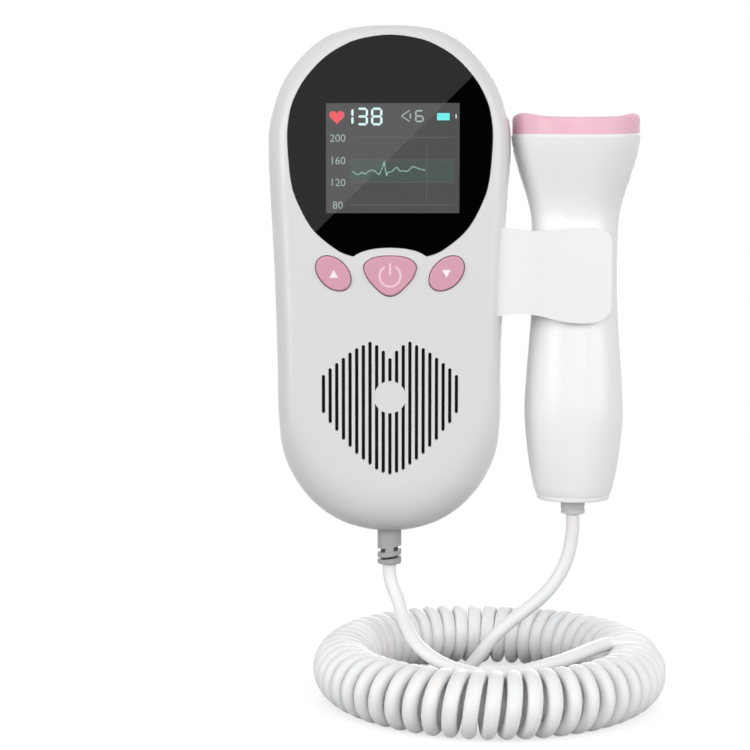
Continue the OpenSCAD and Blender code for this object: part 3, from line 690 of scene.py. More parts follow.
@dataclass
class Unit:
    """The display unit: its two shells, window, keys, battery door and socket."""

    low: Vector
    high: Vector
    parting: float
    window_low: Vector
    window_high: Vector
    wall: float = 2.0
    front_wall: float = 2.4
    rear_wall: float = 2.8
    front_edge: float = 7.0
    chin: float = 16.0
    rear_edge: float = 8.0
    power: float = 2.5  # how full the rounded edges are
    steps: int = 10  # points between two knots of an outline
    rings: int = 16  # rings over a rounded edge
    window_h: float = 58.5
    window_t: float = 1.2
    button_gap: float = 0.22
    keys_drop: float = 4.4  # from the window's lower end to the middle of the keys
    arrow_x: float = 15.1
    arrow_half: Point2 = (5.4, 3.7)  # half the length and height of an arrow key
    arrow_turn: float = 45.0
    gland_r: float = 3.3
    jack_d: float = 6.0
    jack_rise: float = 3.0  # from the middle of the keys to the headphone socket
    screw_d: float = 2.0
    grille_drop: float = 37.5  # from the window's lower end to the middle of the grille
    slot_w: float = 0.9
    slot_pitch: float = 1.78
    blank_r: float = 4.3  # the plain disc in the middle of the grille
    door_t: float = 1.6
    hook_x: float = 10.0  # from the middle of the door to the middle of a hinge hook
    hook_w: float = 5.0
    hook_t: float = 1.5
    hook_drop: float = 2.0  # how far the hooks reach below the door's plate
    catch_w: float = 5.0

    OUTLINE = [(0, 1), (0.347, 0.985), (0.62, 0.923), (0.863, 0.79), (0.98, 0.633), (1, 0.507),
               (0.985, 0.32), (0.955, 0.03), (0.936, -0.26), (0.922, -0.55), (0.863, -0.717),
               (0.669, -0.867), (0.375, -0.966), (0, -1)]
    WINDOW = [(0, 0), (0.3, -0.02), (0.5, -0.06), (0.667, -0.115), (0.836, -0.203),
              (0.943, -0.296), (0.99, -0.385), (1, -0.485), (0.968, -0.653), (0.899, -0.757),
              (0.75, -0.878), (0.52, -0.968), (0.363, -0.998)]
    NOTCH = [(0.36, -0.998), (0.27, -0.976), (0.14, -0.962), (0, -0.958)]
    POWER_KEY = [(0, 4.6), (2.8, 4.45), (5.2, 3.75), (6.7, 2.4), (6.9, 1), (5.9, -1.4),
                 (4, -3.6), (2.1, -5.3), (0, -6)]
    SLOT_TOPS = [10.5, 12.5, 14, 14.9, 14, 13.2, 12, 10.6, 9.2, 7.8, 6]
    SLOT_BOTTOMS = [-20.9, -20.4, -19.6, -18.2, -16.9, -15.3, -13.4, -11.5, -9.1, -7, -4.3]

    def __post_init__(self) -> None:
        """Works out the places that follow from the window and the shells."""
        self.half_w = (self.high.x - self.low.x) / 2
        self.half_h = (self.high.z - self.low.z) / 2
        self.front = self.low.y
        self.front_inner = self.front + self.front_wall
        self.rear_inner = -self.rear_wall
        self.window_half = (self.window_high.x - self.window_low.x) / 2
        self.window_top = self.window_high.z
        self.window_bottom = self.window_top - self.window_h
        self.keys_z = self.window_bottom - self.keys_drop
        self.grille_z = self.window_bottom - self.grille_drop
        self.jack_z = self.keys_z + self.jack_rise
        self.front_round = Rounding(self.parting - self.front, self.front_edge, self.chin)
        self.rear_round = Rounding(-self.parting, self.rear_edge, self.rear_edge)

    # outlines

    def unit_outline(self, half_w: float, half_h: float) -> list[Point2]:
        """The unit's outline at a half width and half height."""
        half = half_curve(self.OUTLINE, self.steps)
        return [(x * half_w, z * half_h) for x, z in mirrored(half)]

    def window_outline(self, grow: float) -> list[Point2]:
        """The window's outline, drawn larger by a margin."""
        top = (-self.WINDOW[1][0], self.WINDOW[1][1])
        side = open_curve([top, *self.WINDOW], self.steps)[self.steps:]
        half = side[:-1] + open_curve(self.NOTCH, self.steps)
        return [(x * (self.window_half + grow),
                 self.window_top + grow + z * (self.window_h + 2 * grow))
                for x, z in mirrored(half)]

    def power_outline(self, grow: float) -> list[Point2]:
        """The power key's outline, drawn larger by a margin."""
        half_w = max(x for x, _ in self.POWER_KEY)
        half_h = (self.POWER_KEY[0][1] - self.POWER_KEY[-1][1]) / 2
        return [(x * (1 + grow / half_w), self.keys_z + z * (1 + grow / half_h))
                for x, z in mirrored(half_curve(self.POWER_KEY, self.steps))]

    def arrow_outline(self, side: int, grow: float) -> list[Point2]:
        """An arrow key's outline: a tilted ellipse left or right of the power key."""
        turn, count = math.radians(self.arrow_turn * side), 96
        half_w, half_h = (half + grow for half in self.arrow_half)
        points = []
        for i in range(count):
            a = 2 * math.pi * i / count
            x, z = half_w * math.cos(a), half_h * math.sin(a)
            points.append((side * self.arrow_x + x * math.cos(turn) - z * math.sin(turn),
                           self.keys_z + x * math.sin(turn) + z * math.cos(turn)))
        return points

    def slot_outline(self, x: float, low: float, high: float) -> list[Point2]:
        """One slot of the grille: straight sides and round ends."""
        r, count = self.slot_w / 2, 10
        ends = ((high - r, 0.0), (low + r, math.pi))
        return [(x + r * math.cos(start + math.pi * i / count),
                 self.grille_z + z + r * math.sin(start + math.pi * i / count))
                for z, start in ends for i in range(count + 1)]

    def slots(self) -> Iterable[list[Point2]]:
        """The outlines of the heart-shaped grille's slots."""
        for i, (top, bottom) in enumerate(zip(self.SLOT_TOPS, self.SLOT_BOTTOMS)):
            for x in sorted({i * self.slot_pitch, -i * self.slot_pitch}):
                yield self.slot_outline(x, bottom, top)

    def screw_places(self) -> list[Point2]:
        """The x and z of the four case screws."""
        upper = (self.half_w - 15.4, self.high.z - 11.5)
        lower = (self.half_w - 10.2, self.low.z + 24)
        return [(side * x, z) for x, z in (upper, lower) for side in (-1, 1)]

    def screw_rods(self, start: float, end: float, radius: float) -> bmesh.types.BMesh:
        """A rod from one depth to another at each of the four case screws."""
        return gathered(rod((x, start, z), (x, end, z), radius) for x, z in self.screw_places())

    # solids

    def skin(self, rounding: Rounding, inset: float, face: float, towards: int,
             below: float = 0.0) -> bmesh.types.BMesh:
        """A rounded skin from the parting plane to a flat face.

        Args:
            rounding: The shell's depth and edges.
            inset: How far the outline is drawn in.
            face: How much of the depth is left out at the flat face.
            towards: -1 towards the display's side, 1 towards the back.
            below: How far it reaches past the parting plane.

        Returns:
            The closed solid.
        """
        depth = rounding.depth - face
        base_w, base_h = self.half_w - inset, self.half_h - inset
        bm = bmesh.new()
        start = self.parting - towards * below
        cap = flat_face(bm, self.unit_outline(base_w, base_h), start)
        y, w, h, lift = start, base_w, base_h, 0.0
        for i in range(0 if below else 1, self.rings + 1):
            a = math.pi / 2 * i / self.rings
            share = 1 - max(math.cos(a), 0.0) ** (2 / self.power)
            new_y = self.parting + towards * depth * math.sin(a) ** (2 / self.power)
            new_w = base_w - rounding.edge * share
            new_h = base_h - (rounding.edge + rounding.bottom_edge) / 2 * share
            new_lift = (rounding.bottom_edge - rounding.edge) / 2 * share
            cap = draw_out(bm, cap, Vector((0, new_y - y, new_lift - lift)),
                           (new_w / w, new_h / h), (0, lift))
            y, w, h, lift = new_y, new_w, new_h, new_lift
        return bm

    def front_shell(self) -> None:
        """The front shell: recess for the window, holes for screen and keys, grille slots."""
        low, high = corners("lcd_panel")
        over_side, over_end = 0.2, 0.4  # how far the shell reaches over the screen
        boss_r, boss_short, hole_short = 3.0, 0.2, 1.5
        solid = Solid(self.skin(self.front_round, 0, 0, -1))
        solid.combine(Join.CUT, self.skin(self.front_round, self.wall, self.front_wall, -1, PAD))
        depth0, depth1 = self.front_inner + PAD, self.front - PAD
        solid.combine(Join.CUT, prism(self.window_outline(SLIP),
                                      self.front + self.window_t + SLIP, depth1))
        left, right = low.x + over_side, high.x - over_side
        bottom, top = low.z + over_end, high.z - over_end
        holes = [self.power_outline(self.button_gap),
                 self.arrow_outline(-1, self.button_gap), self.arrow_outline(1, self.button_gap),
                 [(left, bottom), (right, bottom), (right, top), (left, top)]]
        solid.combine(Join.CUT, gathered(prism(hole, depth0, depth1) for hole in holes))
        solid.combine(Join.CUT, self.side_holes())
        solid.soften(0.3, 3, CREASE)
        grille = Solid(gathered(prism(hole, depth0, depth1) for hole in self.slots()))
        grille.combine(Join.CUT, rod((0, depth0 + PAD, self.grille_z),
                                     (0, depth1 - PAD, self.grille_z), self.blank_r))
        solid.combine(Join.CUT, grille)
        solid.combine(Join.ADD, self.screw_rods(
            self.parting, self.front_inner - boss_short, boss_r))
        solid.combine(Join.CUT, self.screw_rods(
            self.parting + PAD, self.front_inner + hole_short, self.screw_d / 2))
        fit(solid.piece("front_cover"), "unit", "shell_plastic", Finishes.SHELL, "front_shell")

    def side_holes(self) -> bmesh.types.BMesh:
        """The holes that both shells share: the cord's gland and the headphone socket."""
        deep = 4.0
        return gathered([
            rod((0, self.parting, self.low.z - PAD), (0, self.parting, self.low.z + deep),
                self.gland_r + SLIP),
            rod((self.low.x - PAD, self.parting, self.jack_z),
                (self.low.x + deep, self.parting, self.jack_z), self.jack_d / 2 + SLIP)])

    def rear_shell(self) -> None:
        """The rear shell: battery bay with its door's pocket, screw bosses and holes."""
        low, high = corners("battery_door")
        gap, wall, boss_r, play = 0.2, 1.2, 3.3, 0.3
        side, lower, upper = 2.6, 3.0, 2.5  # from the door's edges to the bay's
        plate_low, inner = low.z + self.hook_drop, self.rear_inner + SLIP
        bay_low, bay_high = plate_low + lower, high.z - upper
        bay_half = (high.x - low.x) / 2 - side
        solid = Solid(self.skin(self.rear_round, 0, 0, 1))
        solid.combine(Join.CUT, self.skin(self.rear_round, self.wall, self.rear_wall, 1, PAD))
        solid.combine(Join.ADD, self.screw_rods(inner, self.parting, boss_r))
        box = Solid(block((-bay_half - wall, self.parting, bay_low - wall),
                          (bay_half + wall, inner, bay_high + wall)))
        box.combine(Join.CUT, block((-bay_half, self.parting - PAD, bay_low),
                                    (bay_half, PAD, bay_high)))
        solid.combine(Join.ADD, box)
        solid.combine(Join.CUT, block((low.x - gap, -self.door_t - SLIP / 2, plate_low - gap),
                                      (high.x + gap, PAD, high.z + gap)))
        solid.combine(Join.CUT, block((-bay_half, self.rear_inner - SLIP, bay_low),
                                      (bay_half, PAD, bay_high)))
        past_wall = 1.8  # how far a hinge hook reaches past the shell's wall
        sweep = math.hypot(self.rear_wall + past_wall, self.hook_t) + play
        notches = [block((s * self.hook_x - self.hook_w / 2 - gap, -sweep, plate_low - gap),
                         (s * self.hook_x + self.hook_w / 2 + gap, PAD, bay_low + SLIP))
                   for s in (-1, 1)]
        catch_half, catch_h = self.catch_w / 2 + 1, 2
        notches.append(block((-catch_half, self.rear_inner - PAD, high.z - catch_h),
                             (catch_half, 0, high.z + gap)))
        solid.combine(Join.CUT, gathered(notches))
        solid.combine(Join.CUT, self.side_holes())
        solid.soften(0.3, 2, CREASE)
        seat, head_r = -9.0, self.screw_d * 1.1
        solid.combine(Join.CUT, self.screw_rods(PAD, seat, head_r + play))
        solid.combine(Join.CUT, self.screw_rods(seat + PAD, self.parting - PAD,
                                                self.screw_d / 2 + gap))
        fit(solid.piece("rear_cover"), "unit", "shell_plastic", Finishes.SHELL, "rear_shell")

    def window(self) -> None:
        """The black window, its clear pane, and the bezel's rounded rim."""
        front, back = self.window_low.y, self.window_high.y
        left, right, bottom, top = Screen.opening()
        solid = Solid(prism(self.window_outline(0), back, front))
        solid.soften(0.12, 2, CREASE)
        solid.combine(Join.CUT, block((left, front - PAD, bottom), (right, back + PAD, top)))
        fit(solid.piece("window"), "unit", "window_acrylic", Finishes.WINDOW, "display_window")
        clear = 0.01
        pane = Solid(block((left + clear, front, bottom + clear),
                           (right - clear, back, top - clear)))
        fit(pane.piece("window_pane"), "unit", "window_acrylic", Finishes.GLASS)

    def key(self, name: str, node: str, body: str, outline: list[Point2],
            marks: Iterable[list[Point2]], ink: Finishes) -> None:
        """One key with its flange and its printed mark.

        Args:
            name: Name of the key's piece.
            node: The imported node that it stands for.
            body: The body that it rides on.
            outline: Outline of its face.
            marks: Outlines of what is printed on it.
            ink: The finish of the mark.
        """
        low, high = corners(node)
        flange_y, spread = high.y - 0.6, 1.17
        solid = Solid(prism(outline, high.y, low.y))
        solid.soften(0.45, 4, CREASE)
        flange = Solid(block((low.x, flange_y, low.z), high))
        middle = (low + high) / 2
        wide = prism([(middle.x + (x - middle.x) * spread, middle.z + (z - middle.z) * spread)
                      for x, z in outline], flange_y, high.y)
        flange.combine(Join.KEEP, wide)
        solid.combine(Join.ADD, flange)
        fit(solid.piece(name), body, "pink_plastic", Finishes.KEY, node)
        proud, deep = 0.02, 0.1
        for i, mark in enumerate(marks):
            shape = Solid(prism(mark, low.y + deep, low.y - proud))
            fit(shape.piece(f"{name}_mark_{i + 1}"), body, "pink_plastic", ink)

    def keys(self) -> None:
        """The power key and the two arrow keys."""
        z = self.keys_z - 0.7
        ring_r, half, gap, count = 2.8, 0.29, math.radians(30), 60
        arc = [math.pi / 2 + gap + (2 * math.pi - 2 * gap) * i / count for i in range(count + 1)]
        ring = [((ring_r + way * half) * math.cos(a), z + (ring_r + way * half) * math.sin(a))
                for way in (1, -1) for a in arc[::way]]
        foot, tip = z + 0.3, z + 3.4
        bar = [(-half, foot), (half, foot), (half, tip), (-half, tip)]
        self.key("power_key_cap", "power_button", "power_key", self.power_outline(0),
                 [ring, bar], Finishes.INK_SOFT)
        for side, name in ((-1, "up"), (1, "down")):
            x, z, half_w, tip = side * 15.0, self.keys_z - 0.1, 1.15, -side * 1.05
            mark = [(x - half_w, z - tip), (x + half_w, z - tip), (x, z + tip)]
            self.key(f"{name}_key_cap", f"{name}_button", f"{name}_key",
                     self.arrow_outline(side, 0), [mark], Finishes.INK)

    def battery_cover(self) -> None:
        """The battery cover: its plate with grip ribs, two hinge hooks and the catch."""
        low, high = corners("battery_door")
        bottom, root = low.z + self.hook_drop, SLIP - self.door_t
        solid = Solid(block((low.x, -self.door_t, bottom), (high.x, 0, high.z))).soften(0.2)
        arms = []
        for middle in (-self.hook_x, self.hook_x):
            left, right = middle - self.hook_w / 2, middle + self.hook_w / 2
            top = bottom + self.hook_t
            hook = Solid(block((left, low.y, bottom), (right, root, top)))
            hook.combine(Join.ADD, block((left, low.y, low.z),
                                         (right, low.y + self.hook_t, top)))
            arms.append(hook.soften(0.3))
        catch = block((-self.catch_w / 2, self.rear_inner + 0.4, high.z - 1.4),
                      (self.catch_w / 2, root, high.z - 0.05))
        arms.append(Solid(catch).soften(0.25))
        ribs, rib_half, rib_h, rib_step = 5, 7, 0.7, 1.6
        for i in range(ribs):
            foot = high.z - 5 - rib_step * i
            rib = block((-rib_half, -0.2, foot), (rib_half, high.y, foot + rib_h))
            arms.append(Solid(rib).soften(0.22))
        for arm in arms:
            solid.combine(Join.ADD, arm)
        fit(solid.piece("battery_cover"), "door", "shell_plastic", Finishes.SHELL, "battery_door")

    def build(self) -> None:
        """Makes every visible piece of the unit."""
        self.front_shell()
        self.rear_shell()
        self.window()
        self.keys()
        self.battery_cover()
        # The unit relief's core is black as painted shade deep in its notches.
        Relief("unit_relief", "unit", "unit_strain_relief", -69.0, 9.3,
               (Notch(5.2, 1.15, True), Notch(7.45, 0.72, False)), 2.4, Finishes.RELIEF,
               Finishes.BLACK).build()
        for node, name, slot, finish, width in (
                ("headphone_socket", "socket_body", "socket_plastic", Finishes.BLACK, 0.2),
                ("case_screws", "case_screw_set", "screw_steel", Finishes.STEEL, 0.15)):
            fit(softened_node(node, width).piece(name), "unit", slot, finish, node)


# --------------------------------------------------------------------------- the screen


@dataclass(frozen=True)
class Screen:
    """The lit screen and what it shows, placed in millimetres from its upper left corner."""

    width: float = 35.4
    height: float = 29.0
    lift: float = 0.03  # how far the picture stands ahead of the panel
    thickness: float = 0.02
    label_h: float = 2.0  # height of the scale's figures

    # Bars of a seven-segment digit, as lit or not, from the top clockwise, then the middle
    DIGITS = {"1": "0110000", "3": "1111001", "6": "1011111", "8": "1111111"}
    # The trace of the heart rate, from the left
    TRACE = [(6.8, 17.9), (7.5, 18.1), (8.2, 18.8), (8.7, 18.7), (9.5, 18.0), (10.3, 18.7),
             (11.0, 18.0), (11.8, 17.6), (12.6, 17.5), (13.3, 18.1), (14.1, 18.8), (14.6, 17.6),
             (15.0, 16.9), (15.5, 15.2), (15.7, 16.9), (16.1, 19.1), (16.5, 18.0), (17.4, 18.0),
             (18.1, 17.3), (18.8, 16.7), (19.7, 17.9), (20.5, 17.6), (21.4, 18.0), (22.3, 17.3),
             (23.1, 16.5), (24.0, 16.9), (25.3, 17.3), (26.4, 17.6)]

    @classmethod
    def opening(cls) -> tuple[float, float, float, float]:
        """Left, right, bottom and top of the clear part of the window, in millimetres."""
        low, high = corners("lcd_panel")
        x, z = (low.x + high.x) / 2, (low.z + high.z) / 2
        return x - cls.width / 2, x + cls.width / 2, z - cls.height / 2, z + cls.height / 2

    def shape(self, outline: Iterable[Point2], layer: int = 0) -> bmesh.types.BMesh:
        """A thin solid on one layer of the picture, from an outline in screen millimetres."""
        left, _, _, top = self.opening()
        face = corners("lcd_panel")[0].y - self.lift * (1 + layer)
        return prism([(left + x, top - z) for x, z in outline], face, face - self.thickness)

    @staticmethod
    def bar(a: Point2, b: Point2, w: float) -> list[Point2]:
        """A straight bar from a to b with pointed ends."""
        run = Vector(b) - Vector(a)
        along = run.normalized() * w / 2
        side = Vector((-along.y, along.x))
        p, q = Vector(a), Vector(b)
        return [tuple(v) for v in (p, p + along + side, q - along + side, q,
                                   q - along - side, p + along - side)]

    def digit(self, figure: str, x: float, z: float, w: float, h: float,
              pen: float) -> list[bmesh.types.BMesh]:
        """The lit bars of one seven-segment digit.

        Args:
            figure: The digit.
            x: Its left side.
            z: Its top.
            w: Its width.
            h: Its height.
            pen: Width of its bars.

        Returns:
            One thin solid per lit bar.
        """
        mid, g = z + h / 2, 0.06
        spots = [((x + g, z), (x + w - g, z)), ((x + w, z + g), (x + w, mid - g)),
                 ((x + w, mid + g), (x + w, z + h - g)), ((x + g, z + h), (x + w - g, z + h)),
                 ((x, mid + g), (x, z + h - g)), ((x, z + g), (x, mid - g)),
                 ((x + g, mid), (x + w - g, mid))]
        return [self.shape(self.bar(a, b, pen)) for (a, b), lit in zip(spots, self.DIGITS[figure])
                if lit == "1"]

    def number(self, text: str, x: float, z: float, w: float, h: float, step: float,
               pen: float) -> list[bmesh.types.BMesh]:
        """The bars of a whole number, its digits a step apart."""
        return [bar for i, figure in enumerate(text)
                for bar in self.digit(figure, x + i * step, z, w, h, pen)]

    @staticmethod
    def heart(x: float, z: float, size: float) -> list[Point2]:
        """A plain heart round a centre, by the usual curve of sines and cosines."""
        points, count, scale = [], 48, size / 34
        for i in range(count):
            a = 2 * math.pi * i / count
            points.append((x + scale * 16 * math.sin(a) ** 3,
                           z - scale * (13 * math.cos(a) - 5 * math.cos(2 * a)
                                        - 2 * math.cos(3 * a) - math.cos(4 * a))))
        return points

    @staticmethod
    def box(left: float, top: float, right: float, bottom: float) -> list[Point2]:
        """The outline of a box from its upper left to its lower right corner."""
        return [(left, top), (right, top), (right, bottom), (left, bottom)]

    def label(self, text: str, right: float, bottom: float) -> bmesh.types.BMesh:
        """A plain printed number that ends at a right side.

        Args:
            text: The number.
            right: Its right side.
            bottom: The line it stands on.

        Returns:
            The thin solid.
        """
        words = bpy.data.curves.new("label", "FONT")
        words.body = text
        words.extrude = self.thickness / 2
        drawn = placed("label", words)
        bm = bmesh.new()
        bm.from_mesh(evaluated(drawn))
        bpy.data.objects.remove(drawn)
        bmesh.ops.remove_doubles(bm, verts=bm.verts, dist=1e-5)
        xs, ys = [v.co.x for v in bm.verts], [v.co.y for v in bm.verts]
        grow = self.label_h / (max(ys) - min(ys))
        left, _, _, top = self.opening()
        face = corners("lcd_panel")[0].y - self.lift - self.thickness / 2
        place = (Matrix.Translation((left + right, face, top - bottom))
                 @ Matrix.Rotation(math.pi / 2, 4, "X") @ Matrix.Diagonal((grow, grow, 1, 1))
                 @ Matrix.Translation((-max(xs), -min(ys), 0)))
        bmesh.ops.transform(bm, matrix=place, verts=bm.verts)
        return bm

    def stroke(self, points: Sequence[Point2], pen: float) -> list[bmesh.types.BMesh]:
        """A line of bars through points."""
        return [self.shape(self.bar(a, b, pen), 1) for a, b in zip(points, points[1:])]

    def show(self, name: str, colour: str, parts: list[bmesh.types.BMesh]) -> None:
        """Puts a group of shapes on the screen in one glowing colour."""
        piece = Solid(gathered(parts)).piece(f"screen_{name}")
        finish = Finish(f"lcd_{name}", "#0A0A0A", "#0C0C0C", 0.5, 0.0, shine=0.0, lit=colour,
                        glow=1.08)
        piece.data.materials.append(finish.build())
        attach(piece, "unit")
        log.info("%s on unit", piece.name)

    def build(self) -> None:
        """Draws the whole picture."""
        dress(bpy.data.objects["lcd_panel"], Finishes.SCREEN)
        self.show("rate", "#D3F2F2", self.number("138", 4.6, 1.3, 2.4, 4.1, 3.83, 0.62))
        speaker = [(22.25, 1.7), (20.0, 3.2), (22.25, 4.7)]
        self.show("volume", "#A3B0AE", self.number("6", 23.85, 1.85, 1.9, 2.8, 2, 0.45)
                  + self.stroke(speaker, 0.3) + self.stroke([(22.4, 2.4), (22.4, 4.0)], 0.38))
        self.show("heart", "#E85A62", [self.shape(self.heart(2.85, 3.4, 4.3))])
        self.show("battery", "#74ECEC", [self.shape(self.box(29.5, 2.45, 32.85, 4.35))])
        self.show("battery_tip", "#D3D9D6", [self.shape(self.box(34.4, 2.75, 34.75, 3.85))])
        scale = (("200", 5.1, 10.05), ("160", 5.1, 16.0), ("120", 5.1, 21.8), ("80", 4.4, 27.8))
        self.show("scale", "#9CADA9", [self.label(*figures) for figures in scale])
        lines = [self.shape(self.box(6.2, z - 0.15, 34.1, z + 0.15), 1)
                 for z in (8.9, 14.85, 20.8, 26.75)]
        lines.append(self.shape(self.box(26.6, 10.4, 26.85, 26.2), 1))
        self.show("lines", "#5E5E5E", lines)
        self.show("band", "#4E5956", [self.shape(self.box(6.1, 15.1, 34.0, 20.6))])
        self.show("trace", "#8FB4A4", self.stroke(self.TRACE, 0.3))


# ---------------------------------------------------------------------------- the probe


@dataclass
class Probe:
    """The ultrasound probe: its shell, pink rim, soft face, end cap and strain relief."""

    x: float
    y: float
    head_r: float
    seam_z: float = 39.65
    top_z: float = 45.6
    wall: float = 2.0
    seam_dish: float = 1.2
    dish: float = 2.5
    steps: int = 8

    # The dished face, seen from in front: how far out, and its share of the dish's depth
    DISH = [(0, 1), (0.32, 0.94), (0.52, 0.82), (0.63, 0.66), (0.73, 0.42), (0.83, 0.2),
            (0.9, 0.11), (1, 0.04)]

    # Outer profile below the head: radius less the head's, and height
    GRIP = [(-0.75, 34.5), (-2.45, 28.5), (-4.4, 22.5), (-5.5, 17.5), (-5.9, 11), (-5.95, 2),
            (-5.8, -6), (-5.4, -14), (-4.7, -23), (-4.2, -31), (-4.1, -37), (-4.6, -43.5),
            (-5.5, -50.5), (-6.7, -56.5), (-7.5, -58.9)]

    def sag(self, x: float, depth: float) -> float:
        """How far a round dish of this depth lies below its two sides at x."""
        if depth < 1e-3:
            return 0.0
        r = (self.head_r ** 2 + depth ** 2) / (2 * depth)
        return depth - (r - math.sqrt(r * r - (x - self.x) ** 2))

    def flat_dish(self, x: float) -> float:
        """The share of the dish's depth at x, for a dish with a flat bottom and raised ends."""
        out = min(abs(x - self.x) / self.head_r, 1.0)
        for (a, share_a), (b, share_b) in zip(self.DISH, self.DISH[1:]):
            if out <= b:
                t = (out - a) / (b - a)
                return share_a + (share_b - share_a) * t
        return self.DISH[-1][1]

    def dished(self, start: float, seam: Callable[[float], float],
               face: Callable[[float], float] = lambda z: 0.0) -> Callable[[Vector], Vector]:
        """A rule that lowers points above a height, by two dishes that depend on height.

        Args:
            start: Height below which nothing moves.
            seam: The depth at a height of a dish with a round bottom.
            face: The depth at a height of the dish with a flat bottom.

        Returns:
            The rule, for Solid.warp.
        """
        def move(p: Vector) -> Vector:
            if p.z <= start:
                return p
            drop = self.sag(p.x, seam(p.z)) + self.flat_dish(p.x) * face(p.z)
            return Vector((p.x, p.y, p.z - drop))
        return move

    def turned_piece(self, name: str, profile: Sequence[Point2],
                     rule: Callable[[Vector], Vector], slot: str, finish: Finishes,
                     node: str) -> None:
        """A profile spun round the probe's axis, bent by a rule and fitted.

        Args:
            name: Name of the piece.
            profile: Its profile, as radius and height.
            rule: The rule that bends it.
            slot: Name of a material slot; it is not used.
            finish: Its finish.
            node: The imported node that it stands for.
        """
        solid = Solid(turned(profile, self.x, self.y)).warp(rule)
        fit(solid.piece(name, level=False), "probe", slot, finish, node)

    def shell(self) -> None:
        """The white shell, from its dished seam to its foot."""
        side = [(self.head_r, self.seam_z - 1)] + [(self.head_r + r, z) for r, z in self.GRIP]
        outer = open_curve(side, self.steps)
        inner = [(r - self.wall, z) for r, z in reversed(outer)]
        bevel, start, span = 0.25, self.seam_z - 5, 4.7
        rim = [(self.head_r - bevel, self.seam_z), (self.head_r, self.seam_z - bevel)]
        profile = [(self.head_r - self.wall, self.seam_z), *rim, *outer, *inner]
        rule = self.dished(start, lambda z: self.seam_dish * min((z - start) / span, 1.0))
        self.turned_piece("probe_body", profile, rule, "probe_plastic", Finishes.PROBE,
                          "probe_shell")

    def ring(self) -> None:
        """The pink rim, with its rounded upper edge."""
        r_out, r_in, fillet = self.head_r - 0.3, self.head_r - 2.4, 1.7
        arc = [(r_out - fillet + fillet * math.sin(a), self.top_z - fillet + fillet * math.cos(a))
               for a in (math.pi / 2 * i / 10 for i in range(11))]
        profile = [(r_in, self.seam_z), (r_in, self.top_z - 0.5), (r_in + 0.3, self.top_z),
                   *arc, (r_out, self.seam_z + 0.1), (r_out - 0.2, self.seam_z)]
        span = self.top_z - self.seam_z
        rule = self.dished(
            self.seam_z - 1, lambda z: self.seam_dish * (1 - (z - self.seam_z) / span),
            lambda z: self.dish * (z - self.seam_z) / span)
        self.turned_piece("probe_rim", profile, rule, "ring_plastic", Finishes.RING,
                          "probe_ring")

    def face(self) -> None:
        """The soft face inside the rim, slightly crowned at its edge."""
        r, top, foot = self.head_r - 2.45, self.top_z - 0.4, 38.2
        profile = [(0.0, top), *[(r - 1 + math.sin(a), top - 1 + math.cos(a))
                                 for a in (math.pi / 2 * i / 6 for i in range(7))],
                   (r, foot), (0.0, foot)]
        rule = self.dished(self.seam_z, lambda z: 0.0, lambda z: self.dish)
        self.turned_piece("probe_face", profile, rule, "face_rubber", Finishes.FACE,
                          "transducer_face")

    def build(self) -> None:
        """Makes every visible piece of the probe."""
        self.shell()
        self.ring()
        self.face()
        foot = softened_node("probe_end_cap", 0.2)
        fit(foot.piece("probe_foot"), "probe", "probe_plastic", Finishes.PROBE, "probe_end_cap")
        Relief("probe_relief", "probe", "probe_strain_relief", -60.1, 4.2,
               (Notch(2.9, 0.45, False),), 3.0, Finishes.RELIEF_PALE,
               Finishes.RELIEF_PALE).build()


# ----------------------------------------------------------------------------- the clip


@dataclass
class Clip:
    """The fork on the unit's side that holds the probe's neck between two arms."""

    unit: Unit
    probe: Probe
    low: Vector
    high: Vector
    arm: float = 2.0
    inset: float = 4.3  # how far it reaches under the unit's side
    past_axis: float = 8.15  # how far it reaches past the probe's axis
    steps: int = 8  # points between two knots of an outline

    # Upper and lower edges, as a share of the width and a height; then the front, seen from above
    TOP = [(0, 14.3), (0.11, 14.1), (0.33, 13.3), (0.57, 13.9), (0.8, 14.2), (0.93, 13.3),
           (0.985, 11.9), (1, 10)]
    BOTTOM = [(1, -6.4), (0.985, -8.4), (0.93, -10.2), (0.79, -11.3), (0.58, -10.9),
              (0.38, -9.4), (0.19, -8.8), (0, -9.6)]
    FRONT = [(0, 3.4), (0.08, 3.2), (0.17, 2.6), (0.28, 1.3), (0.37, 0.4), (0.48, 0), (0.75, 0),
             (1, 0.15)]

    def build(self) -> None:
        """Makes the clip."""
        left, right = self.unit.half_w - self.inset, self.probe.x + self.past_axis
        width, half_h, reach = right - left, 25, 30
        front, rear = self.low.y, self.high.y
        bore = (rear - front) / 2 - self.arm
        edge = [(left + width * x, z) for x, z in
                open_curve(self.TOP, self.steps) + open_curve(self.BOTTOM, self.steps)]
        solid = Solid(prism(edge, rear + PAD, front - PAD))
        plan = [(left + width * x, front + y) for x, y in open_curve(self.FRONT, self.steps)]
        plan += [(right, rear), (left, rear)]
        bm = bmesh.new()
        face = bm.faces.new([bm.verts.new((x, y, -half_h)) for x, y in plan])
        draw_out(bm, face, Vector((0, 0, 2 * half_h)))
        solid.combine(Join.KEEP, bm)
        x, y = self.probe.x, self.probe.y
        channel = Solid(rod((x, y, -reach), (x, y, reach), bore, FINE_SIDES))
        channel.combine(Join.ADD, block((x, y - bore, -reach), (x + reach, y + bore, reach)))
        solid.combine(Join.CUT, channel)
        solid.soften(0.5, 4, 50)
        for rounding, towards in ((self.unit.front_round, -1), (self.unit.rear_round, 1)):
            solid.combine(Join.CUT, self.unit.skin(rounding, 0, 0, towards))
        fit(solid.piece("probe_holder"), "unit", "clip_plastic", Finishes.CLIP, "probe_clip")


# ----------------------------------------------------------------------------- the cord


